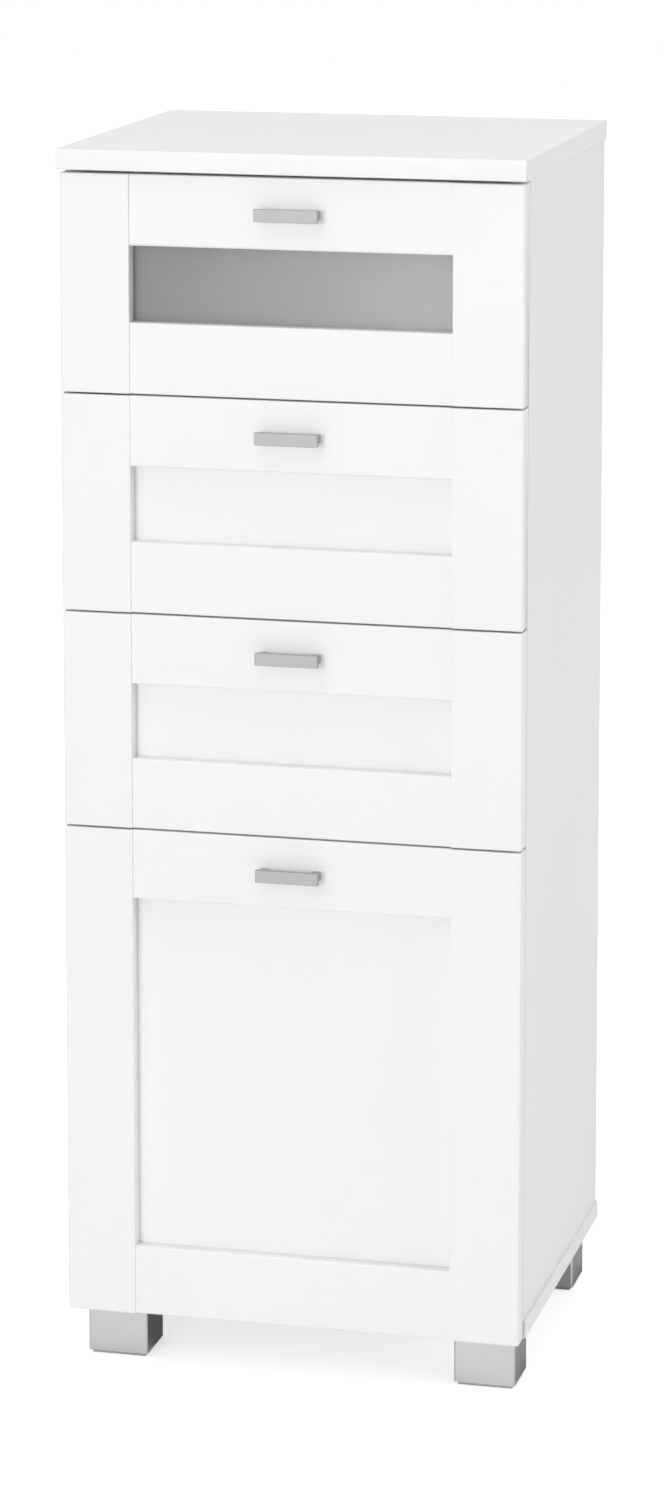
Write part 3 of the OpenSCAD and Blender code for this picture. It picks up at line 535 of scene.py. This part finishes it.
def combine(bm, other, operation):
    # Cuts the other shape out of bm, or joins it on. The other shape's own parts don't overlap.
    objects = []
    for name, source in (("shape", bm), ("tool", other)):
        mesh = bpy.data.meshes.new(name)
        source.to_mesh(mesh)
        thing = bpy.data.objects.new(name, mesh)
        bpy.context.scene.collection.objects.link(thing)
        objects.append(thing)
    shape, tool = objects
    change = shape.modifiers.new("change", "BOOLEAN")
    change.object = tool
    change.operation = operation
    change.solver = "EXACT"
    seen = shape.evaluated_get(bpy.context.evaluated_depsgraph_get())
    result = bpy.data.meshes.new_from_object(seen)
    bm.clear()
    bm.from_mesh(result)
    other.free()
    bpy.data.meshes.remove(result)
    for thing in objects:
        mesh = thing.data
        bpy.data.objects.remove(thing)
        bpy.data.meshes.remove(mesh)


def cadCopy(node):
    # The node's own shape as clean faces, with its holes and grooves
    bm = bmesh.new()
    bm.from_mesh(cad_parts[node].data)
    bmesh.ops.remove_doubles(bm, verts=bm.verts[:], dist=mergeDistance)
    bmesh.ops.dissolve_limit(bm, angle_limit=flatAngle, verts=bm.verts[:], edges=bm.edges[:])
    return bm


def crispEdges(bm, shortest, axis=None, where=None, bend=squareBend):
    # Outer edges of at least that length, right-angled unless the bend says otherwise
    found = []
    for edge in bm.edges:
        middle, way = middleAndWay(edge)
        if way.length < shortest or not edge.is_manifold or not edge.is_convex:
            continue
        if not bend[0] < edge.calc_face_angle() < bend[1]:
            continue
        if axis is not None and not along(way, axis):
            continue
        if where and not where(middle):
            continue
        found.append(edge)
    return found


def refine(name, body, node, coats, rounds, sharpFrom=edgeAngle, reshape=None):
    # A piece with the node's own shape, whose edges are eased in one round after another
    bm = cadCopy(node)
    if reshape:
        reshape(bm)
    for settings in rounds:
        edges = crispEdges(bm, settings["shortest"], settings.get("axis"), settings.get("where"),
                           settings.get("bend", squareBend))
        roundEdges(bm, edges, settings["width"], settings.get("segments", 2))
    return finishPiece(name, bm, body, coats, [node], sharpFrom)


# Boards of the carcass, with edge banding along their narrow faces

boardSettings = {
    "ease": 0.0003,
    "backEase": 0.0004,
    "shortest": 0.012,
    "easedAngle": math.radians(62),
    "pieces": {
        "topBoard": {"node": "top_panel", "flat": 2, "eased": True},
        "baseBoard": {"node": "base_panel", "flat": 2, "eased": True},
        "leftSideBoard": {"node": "left_side_panel", "flat": 0, "eased": False},
        "rightSideBoard": {"node": "right_side_panel", "flat": 0, "eased": False},
        "shelfBoard": {"node": "fixed_shelf", "flat": 2, "eased": False},
    },
}


def bandEdges(piece, flatAxis):
    # The narrow faces take the second finish, the edge banding
    for face in piece.data.polygons:
        if abs(face.normal[flatAxis]) < facingShare:
            face.material_index = 1


def makeBoards(settings):
    rounds = [{"shortest": settings["shortest"], "width": settings["ease"]}]
    for name, board in settings["pieces"].items():
        angle = settings["easedAngle"] if board["eased"] else edgeAngle
        piece = refine(name, "cabinet", board["node"], ["boardFoil", "edgeBand"],
                       rounds, angle)
        bandEdges(piece, board["flat"])
    refine("backBoard", "cabinet", "back_panel", ["backLacquer"],
           [{"shortest": settings["shortest"], "width": settings["backEase"]}])


makeBoards(boardSettings)
print("carcass boards made")

# Framed fronts: two upright stiles, two rails between them and a filling

frontSettings = {
    "railHeight": 0.06,
    "stileWidth": 0.06,
    "innerEdge": 0.0004,  # the stiles' edges beside the rails are nearly square
    "chamfer": 0.0015,
    "chamferSoft": 0.00045,  # rounding of the two edges of the stiles' chamfers
    "chamferBend": (0.6, 1.0),
    "outerRound": 0.0012,  # upper and lower edges of each front
    "recessRound": 0.0014,
    "panelEdge": 0.0003,
    "easedAngle": math.radians(55),
    "anyEdge": 0.0002,
    "longEdge": 0.02,
    "near": 0.0003,
}


def makeFront(title, body, panelNode, settings):
    low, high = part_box(body + "_stiles")
    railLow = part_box(body + "_rails")[0]
    near = settings["near"]

    def atEnd(middle):
        return middle.z < low.z + near or middle.z > high.z - near

    def stileEnd(middle):
        frontZone = middle.y < low.y + settings["chamfer"] + near
        return atEnd(middle) and (frontZone or abs(middle.x) > high.x - near)

    def stileSide(middle):
        reach = settings["chamfer"] + near
        return abs(middle.x) > high.x - reach and middle.y < low.y + reach

    def squareInnerEdges(bm):
        # Narrows the chamfers beside the rails, so that the joints show as crisp lines
        inner = high.x - settings["stileWidth"]
        for vert in bm.verts:
            side = math.copysign(1, vert.co.x)
            depth, offset = vert.co.y - low.y, abs(vert.co.x) - inner
            if abs(depth) < near and abs(offset - settings["chamfer"]) < near:
                vert.co.x = side * (inner + settings["innerEdge"])
            elif abs(depth - settings["chamfer"]) < near and abs(offset) < near:
                vert.co.y = low.y + settings["innerEdge"]

    def railFront(middle):
        return middle.y < railLow.y + near

    def railEnd(middle):
        return railFront(middle) and atEnd(middle)

    def besideRecess(middle):
        fromEnd = min(middle.z - low.z, high.z - middle.z)
        return railFront(middle) and abs(fromEnd - settings["railHeight"]) < near

    refine(title + "Stiles", body, body + "_stiles", ["frontFoil"], [
        {"shortest": settings["longEdge"], "axis": 2, "width": settings["chamferSoft"],
         "bend": settings["chamferBend"], "where": stileSide},
        {"shortest": settings["anyEdge"], "width": settings["outerRound"], "segments": 4,
         "where": stileEnd}], settings["easedAngle"], squareInnerEdges)
    refine(title + "Rails", body, body + "_rails", ["frontFoil"], [
        {"shortest": settings["longEdge"], "axis": 0, "width": settings["recessRound"],
         "segments": 4, "where": besideRecess},
        {"shortest": settings["longEdge"], "axis": 0, "width": settings["outerRound"],
         "segments": 4, "where": railEnd}])
    glass = panelNode.endswith("glass_pane")
    refine(title + ("Pane" if glass else "Panel"), body, panelNode,
           ["etchedGlass" if glass else "frontFoil"],
           [{"shortest": settings["longEdge"], "width": settings["panelEdge"]}])


fronts = {
    "topDrawer": {"body": "drawer_1", "panel": "drawer_1_glass_pane"},
    "middleDrawer": {"body": "drawer_2", "panel": "drawer_2_panel"},
    "lowerDrawer": {"body": "drawer_3", "panel": "drawer_3_panel"},
    "laundryFlap": {"body": "flap", "panel": "flap_panel"},
}
for title, front in fronts.items():
    makeFront(title, front["body"], front["panel"], frontSettings)
print("framed fronts made")

# Handles: a flat bar on two square posts

handleSettings = {
    "barDepth": 0.005,
    "post": 0.007,
    "postInset": 0.001,
    "barRound": 0.0005,
    "postRound": 0.0005,
    "fillet": 0.0003,
}


def makeHandle(name, body, node, settings):
    low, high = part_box(node)
    middleZ = (low.z + high.z) / 2
    bm = bmesh.new()
    barHigh = Vector((high.x, low.y + settings["barDepth"], high.z))
    verts = addBlock(bm, low, barHigh)
    roundEdges(bm, edgesOf(verts), settings["barRound"], segments=4)
    half = settings["post"] / 2
    for side in (-1, 1):
        x = side * (high.x - settings["postInset"] - half)
        postLow = Vector((x - half, barHigh.y - settings["fillet"], middleZ - half))
        postHigh = Vector((x + half, high.y, middleZ + half))
        verts = addBlock(bm, postLow, postHigh)
        roundEdges(bm, edgesOf(verts, frontToBack), settings["postRound"])
    finishPiece(name, bm, body, ["handleSatin"], [node])


for title, front in fronts.items():
    makeHandle(title + "Handle", front["body"], front["body"] + "_handle", handleSettings)
print("handles made")

# Feet: hollow square metal feet with a plastic glide in each

footSettings = {
    "corner": 0.002,
    "rim": 0.0005,
    "rimBend": 1.0,  # in radians, rim edges bend by more
    "wall": 0.002,
    "topPlate": 0.003,
    "glideHeight": 0.003,
    "glideInset": 0.0025,
    "glideRim": 0.0007,
    "plugHeight": 0.008,
    "plugWall": 0.003,
    "plugDepth": 0.8,  # how deep the plug is hollow, over its height
    "plugGap": 0.00015,
}


def makeFoot(name, node, settings):
    low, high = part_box(node)
    bm = bmesh.new()
    verts = addBlock(bm, low, high)
    roundEdges(bm, edgesOf(verts, upright), settings["corner"], segments=5)
    under = min(bm.faces, key=levelOf)
    insetFace(bm, under, settings["wall"])
    hole = bmesh.ops.extrude_discrete_faces(bm, faces=[under])["faces"]
    hollow = high.z - low.z - settings["topPlate"]
    bmesh.ops.translate(bm, verts=hole[0].verts[:], vec=(0, 0, hollow))
    bm.normal_update()
    middle = (low + high) / 2

    def outerWall(face):
        outwards = (face.calc_center_median() - middle).xy.dot(face.normal.xy) > 0
        return outwards and abs(face.normal.z) < facingShare

    def outerRim(edge):
        level, way = edge.verts[0].co.z, middleAndWay(edge)[1]
        if along(way, 2) or low.z + closeEnough <= level <= high.z - closeEnough:
            return False
        return edge.calc_face_angle() > settings["rimBend"] and any(map(outerWall, edge.link_faces))

    rim = [edge for edge in bm.edges if outerRim(edge)]
    roundEdges(bm, rim, settings["rim"], segments=2)
    finishPiece(name, bm, "cabinet", ["footSatin"], [node])


def makeGlides(settings, feet):
    bm = bmesh.new()
    for node in feet.values():
        low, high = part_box(node)
        inset = Vector((settings["glideInset"], settings["glideInset"], 0))
        plateLow = low + inset - Vector((0, 0, settings["glideHeight"]))
        plateHigh = Vector((high.x, high.y, low.z)) - inset
        known = set(bm.verts)
        verts = addBlock(bm, plateLow, plateHigh)
        roundEdges(bm, edgesOf(verts, upright), settings["corner"], segments=5)
        fresh = [v for v in bm.verts if v not in known]
        floorLevel = plateLow.z + closeEnough
        rim = edgesOf(fresh, lambda middle, way: abs(way.z) < closeEnough and middle.z < floorLevel)
        roundEdges(bm, rim, settings["glideRim"], segments=2)
        gap = Vector([settings["wall"] + settings["plugGap"]] * 2 + [0])
        plugLow = low + gap
        plugHigh = Vector((high.x, high.y, low.z + settings["plugHeight"])) - gap
        known = set(bm.faces)
        addBlock(bm, plugLow, plugHigh)
        top = max((f for f in bm.faces if f not in known), key=levelOf)
        insetFace(bm, top, settings["plugWall"])
        bmesh.ops.translate(bm, verts=top.verts[:],
                            vec=(0, 0, -settings["plugDepth"] * settings["plugHeight"]))
    finishPiece("footGlides", bm, "cabinet", ["glidePlastic"], ["foot_glides"])


feet = {
    "frontLeftFoot": "foot_front_left",
    "frontRightFoot": "foot_front_right",
    "rearLeftFoot": "foot_rear_left",
    "rearRightFoot": "foot_rear_right",
}
for title, node in feet.items():
    makeFoot(title, node, footSettings)
makeGlides(footSettings, feet)
print("feet made")

# Drawer boxes and their runners

boxSettings = {
    "boardEase": 0.0004,
    "bottomEase": 0.0003,
    "sheetEase": 0.00035,
    "shortest": 0.012,
}


def makeRunners(name, body, node, settings):
    refine(name, body, node, ["runnerCoat"],
           [{"shortest": settings["shortest"], "axis": 1, "width": settings["sheetEase"]}])


def makeDrawerBox(title, body, settings):
    easing = [{"shortest": settings["shortest"], "width": settings["boardEase"]}]
    for part, node in (("BoxSides", "_box_sides"), ("BoxBack", "_box_back")):
        piece = refine(title + part, body, body + node,
                       ["drawerFoil", "edgeBand"], easing)
        bandEdges(piece, 0 if part == "BoxSides" else 1)
    refine(title + "BoxBottom", body, body + "_box_bottom", ["backLacquer"],
           [{"shortest": settings["shortest"], "width": settings["bottomEase"]}])
    makeRunners(title + "Runners", body, body + "_runners", settings)


drawers = {title: front for title, front in fronts.items() if front["body"] != "flap"}
for title, front in drawers.items():
    makeDrawerBox(title, front["body"], boxSettings)
for side in ("left", "right"):
    makeRunners(side + "CabinetRunners", "cabinet", side + "_cabinet_runners", boxSettings)
print("drawer boxes and runners made")

# Rollers: a nylon wheel with a hub, a web on both faces and a crowned tread

rollerSettings = {
    "hub": 0.0036,
    "rim": 0.0074,
    "web": 0.0012,
    "crown": 0.0004,
    "tread": 0.35,  # half the width of the tread's full radius, over half the roller's width
    "edge": 0.0006,
    "steps": 56,
}


def makeRollers(name, body, node, settings):
    bm = bmesh.new()
    for points in solidsOf(node):
        low, high = span(points)
        middle = (low + high) / 2
        radius, half = (high.z - low.z) / 2, (high.x - low.x) / 2
        bore = min(math.hypot(p.y - middle.y, p.z - middle.z) for p in points)
        hub, rim, web = settings["hub"], settings["rim"], half - settings["web"]
        edge, crown = settings["edge"], settings["crown"]
        side = [(bore, half), (hub, half), (hub, web), (rim, web), (rim, half),
                (radius - edge - crown, half), (radius - crown, half - edge),
                (radius, half * settings["tread"])]
        ring = side + [(r, -x) for r, x in reversed(side)]
        verts = [bm.verts.new(middle + Vector((x, 0, r))) for r, x in ring]
        edges = [bm.edges.new((verts[i - 1], verts[i])) for i in range(len(verts))]
        bmesh.ops.spin(bm, geom=verts + edges, cent=middle, axis=(1, 0, 0), angle=2 * math.pi,
                       steps=settings["steps"], use_merge=True)
    bmesh.ops.remove_doubles(bm, verts=bm.verts[:], dist=mergeDistance)
    bmesh.ops.recalc_face_normals(bm, faces=bm.faces[:])
    finishPiece(name, bm, body, ["rollerNylon"], [node])


for title, front in drawers.items():
    for end in ("front", "rear"):
        node = front["body"] + "_" + end + "_rollers"
        makeRollers(title + end.capitalize() + "Rollers", node, node, rollerSettings)
print("rollers made")

# Screws, bolts and cams, with a cross recess in each head

fastenerSettings = {
    "arm": 0.9,  # length of the cross over the head's radius
    "slotWidth": 0.17,  # over the head's radius
    "depth": 0.0011,
    "taper": 0.55,
    "roundWithin": 0.0004,  # a cam's girth differs from its length by more
    "endZone": 0.0002,
}


def girthAt(points, middle, axis, end, zone):
    # How far the solid reaches from its axis at one of its ends
    others = [i for i in range(3) if i != axis]
    near = [p for p in points if abs(p[axis] - end) < zone]
    return max((math.hypot(*[p[i] - middle[i] for i in others]) for p in near), default=0)


def headsOf(node, settings):
    # Where each head's face is, which way it looks and its radius
    heads = []
    for points in solidsOf(node):
        low, high = span(points)
        size = high - low
        middle = (low + high) / 2
        axis = max(range(3), key=lambda i: size[i])
        others = [i for i in range(3) if i != axis]
        way = Vector([0, 0, 0])
        if abs(size[others[0]] - size[others[1]]) > settings["roundWithin"]:
            # A cam: its axis is the short way, and it looks into the cabinet
            axis = min(range(3), key=lambda i: size[i])
            way[axis] = -1 if axis == 2 or middle.x > 0 else 1
            radius = max(size) / 2
        else:
            atHigh, atLow = (girthAt(points, middle, axis, end, settings["endZone"])
                             for end in (high[axis], low[axis]))
            way[axis] = 1 if atHigh > atLow else -1
            radius = max(atHigh, atLow)
        face = middle.copy()
        face[axis] = high[axis] if way[axis] > 0 else low[axis]
        heads.append((face, way, radius))
    return heads


def makeFasteners(name, body, node, settings):
    # The two slots of each cross are cut one after the other
    bm = cadCopy(node)
    heads = headsOf(node, settings)
    for quarter in (0, math.pi / 2):
        cutter = bmesh.new()
        for face, way, radius in heads:
            turn = way.to_track_quat("Z", "Y").to_matrix().to_4x4()
            place = Matrix.Translation(face) @ turn @ Matrix.Rotation(quarter, 4, "Z")
            shape = Matrix.Diagonal((settings["arm"] * radius, settings["slotWidth"] * radius,
                                     2 * settings["depth"], 1))
            verts = bmesh.ops.create_cube(cutter, size=1, matrix=place @ shape)["verts"]
            deep = [v for v in verts if (v.co - face).dot(way) < 0]
            for vert in deep:
                flat = vert.co - face
                flat -= flat.dot(way) * way
                vert.co -= (1 - settings["taper"]) * flat
        combine(bm, cutter, "DIFFERENCE")
    finishPiece(name, bm, body, ["zincCoat"], [node])


makeFasteners("carcassConnectors", "cabinet", "carcass_connectors", fastenerSettings)
makeFasteners("carcassScrews", "cabinet", "carcass_screws", fastenerSettings)
for title, front in fronts.items():
    body = front["body"]
    makeFasteners(title + "Fasteners", body, body + "_fasteners", fastenerSettings)
print("fasteners made")

# Flap fittings in steel

fittingSettings = {"shortest": 0.012, "ease": 0.0002}
fittings = {
    "hingeFixedLeaf": ("cabinet", "flap_hinge_fixed_leaf", "zinc_steel", "zincCoat"),
    "hingeMovingLeaf": ("flap", "flap_hinge_moving_leaf", "zinc_steel", "zincCoat"),
    "hingePin": ("cabinet", "flap_hinge_pin", "bright_steel", "brightSteel"),
    "guidePins": ("cabinet", "flap_guide_pins", "bright_steel", "brightSteel"),
    "curvedStays": ("flap", "flap_stays", "zinc_steel", "zincCoat"),
    "binHangerRail": ("flap", "bin_hanger_rail", "runner_steel", "runnerCoat"),
}
for name, (body, node, slotName, coat) in fittings.items():
    refine(name, body, node, [coat],
           [{"shortest": fittingSettings["shortest"], "width": fittingSettings["ease"]}])
print("flap fittings made")

# The removable laundry bin: a moulded shell with a turned rim, a raised band and air slots

binSettings = {
    "corner": 0.02,
    "floorRound": 0.007,
    "wall": 0.0022,
    "rim": 0.006,
    "rimDrop": 0.003,
    "lipDrop": 0.0057,
    "padDepth": 0.010,
    "bandLevels": (0.330, 0.332, 0.342, 0.344),
    "bandStand": 0.0009,
    "rimRound": 0.0006,
    "rimZone": 0.012,  # how far below the shell's upper edge the rim is rounded
    "rimShortest": 0.004,
    "slots": {"step": 0.03, "reach": 4, "width": 0.006, "low": 0.158, "high": 0.3152,
              "cut": 0.004, "round": 0.49},  # the rounding is over the width
    "pads": {"inner": 0.098, "outer": 0.122, "low": 0.098, "high": 0.118, "round": 0.0015,
             "front": 0.001},  # how far in front of the shell a pad is rounded
}


def binShell(settings, low, high):
    rim, wall = settings["rim"], settings["wall"]
    shellLow = Vector((low.x + rim, low.y + settings["padDepth"], low.z))
    shellHigh = Vector((high.x - rim, high.y - rim, high.z - wall))
    middle = (shellLow + shellHigh) / 2
    half = (shellHigh - shellLow) / 2

    def spread(vert, reach):
        # Outwards, by the reach where a wall is and by less nearer the middle
        vert.co.x += reach * (vert.co.x - middle.x) / half.x
        vert.co.y += reach * (vert.co.y - middle.y) / half.y

    bm = bmesh.new()
    verts = addBlock(bm, shellLow, shellHigh)
    roundEdges(bm, edgesOf(verts, upright), settings["corner"], segments=10)
    floorLevel = shellLow.z + closeEnough
    floorEdges = [e for e in bm.edges if max(v.co.z for v in e.verts) < floorLevel]
    roundEdges(bm, floorEdges, settings["floorRound"], segments=5)
    levels = settings["bandLevels"]
    for level in levels:
        everything = bm.verts[:] + bm.edges[:] + bm.faces[:]
        bmesh.ops.bisect_plane(bm, geom=everything, plane_co=(0, 0, level), plane_no=(0, 0, 1))
    for vert in bm.verts:
        if levels[0] + closeEnough < vert.co.z < levels[-1] - closeEnough:
            spread(vert, settings["bandStand"])
    topLevel = shellHigh.z - closeEnough
    top = [f for f in bm.faces if levelOf(f) > topLevel and f.normal.z > alongShare]
    bmesh.ops.delete(bm, geom=top, context="FACES_ONLY")
    outline = [e for e in bm.edges if e.is_boundary]
    # The rim turns outwards, then down, and lower still at the front, where it hooks on the rail
    for reach, drop in ((rim - wall, 0), (0, settings["rimDrop"])):
        made = bmesh.ops.extrude_edge_only(bm, edges=outline)["geom"]
        for vert in (v for v in made if isinstance(v, bmesh.types.BMVert)):
            spread(vert, reach)
            vert.co.z -= drop
        outline = [e for e in made if isinstance(e, bmesh.types.BMEdge) and e.is_boundary]
    lip = [e for e in outline if e.calc_length() > half.x
           and (e.verts[0].co.y + e.verts[1].co.y) / 2 < middle.y]
    made = bmesh.ops.extrude_edge_only(bm, edges=lip)["geom"]
    bmesh.ops.translate(bm, verts=[v for v in made if isinstance(v, bmesh.types.BMVert)],
                        vec=(0, 0, -settings["lipDrop"]))
    bmesh.ops.solidify(bm, geom=bm.faces[:], thickness=wall)
    return bm, shellLow, shellHigh


def makeBin(settings):
    low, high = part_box("laundry_bin")
    bm, shellLow, shellHigh = binShell(settings, low, high)
    rimLow = shellHigh.z - settings["rimZone"]
    rimEdges = crispEdges(bm, settings["rimShortest"], where=lambda at: at.z > rimLow)
    roundEdges(bm, rimEdges, settings["rimRound"])
    pads = settings["pads"]
    blocks = bmesh.new()
    for side in (-1, 1):
        edges = sorted((side * pads["inner"], side * pads["outer"]))
        verts = addBlock(blocks, Vector((edges[0], low.y, pads["low"])),
                         Vector((edges[1], shellLow.y + settings["wall"] / 2, pads["high"])))
        padFront = edgesOf(verts, lambda at, way: at.y < shellLow.y - pads["front"])
        roundEdges(blocks, padFront, pads["round"])
    combine(bm, blocks, "UNION")
    slots = settings["slots"]
    cutter = bmesh.new()
    for k in range(-slots["reach"], slots["reach"] + 1):
        x = k * slots["step"]
        half = Vector((slots["width"] / 2, slots["cut"], 0))
        verts = addBlock(cutter, Vector((x, shellHigh.y, slots["low"])) - half,
                         Vector((x, shellHigh.y, slots["high"])) + half)
        roundEdges(cutter, edgesOf(verts, frontToBack), slots["width"] * slots["round"], segments=5)
    combine(bm, cutter, "DIFFERENCE")
    finishPiece("laundryBin", bm, "flap", ["binPlastic"], ["laundry_bin"])


makeBin(binSettings)
print("laundry bin made")

# Floor

floorSettings = {
    "size": 24.0,
    "tone": (0.88, 0.88, 0.88),
    "gloss": 0.1,
    "cloudScale": 2.0, "peelScale": 200.0, "rough": (0.6, 0.7),
    "nearGlow": 0.58,  # seen on top of the light that falls there, close to the cabinet
    "farGlow": 0.80,
    "mirroredGlow": 0.72,  # the share of it that metal mirrors
    "shade": (0.19, 0.14),  # half the size of the part that metal mirrors dark
    "shadeMiddle": (0.0, 0.04, 0.0),
    "shadeBlend": 0.12,
    "nearReach": 0.9,
    "farReach": 2.8,
}


def makeFloor(settings):
    bm = bmesh.new()
    bmesh.ops.create_grid(bm, x_segments=1, y_segments=1, size=settings["size"] / 2)
    mesh = bpy.data.meshes.new("floor")
    bm.to_mesh(mesh)
    bm.free()
    finish, tree, shader, coords = startFinish("floorPaint")
    skin = useSkin(tree, coords, settings)
    # Inside the shade's box, metal mirrors the floor as dark as it is, and outside it with the glow
    shifted = put(tree, "ShaderNodeVectorMath", {
        0: coords, 1: settings["shadeMiddle"]}, operation="SUBTRACT").outputs[0]
    place = put(tree, "ShaderNodeSeparateXYZ", {0: shifted}).outputs
    reach = [calculate(tree, "DIVIDE", calculate(tree, "ABSOLUTE", place[axis]), half)
             for axis, half in zip("XY", settings["shade"])]
    outside = mapRange(tree, calculate(tree, "MAXIMUM", *reach), 0.0, settings["mirroredGlow"],
                       1.0, 1.0 + settings["shadeBlend"])
    away = put(tree, "ShaderNodeVectorMath", {0: coords}, operation="LENGTH").outputs["Value"]
    glow = mapRange(tree, away, settings["nearGlow"], settings["farGlow"],
                    settings["nearReach"], settings["farReach"])
    feed(tree, shader, {
        "Base Color": settings["tone"], "Roughness": skin["Roughness"],
        "Specular IOR Level": settings["gloss"], "Emission Strength": 1.0,
        "Emission Color": calculate(tree, "MULTIPLY", seenBy(tree, outside), glow)})
    mesh.materials.append(finish)
    floor = bpy.data.objects.new("floor", mesh)
    bpy.context.scene.collection.objects.link(floor)


makeFloor(floorSettings)
bpy.context.scene.view_settings.view_transform = "Standard"
print("floor made")
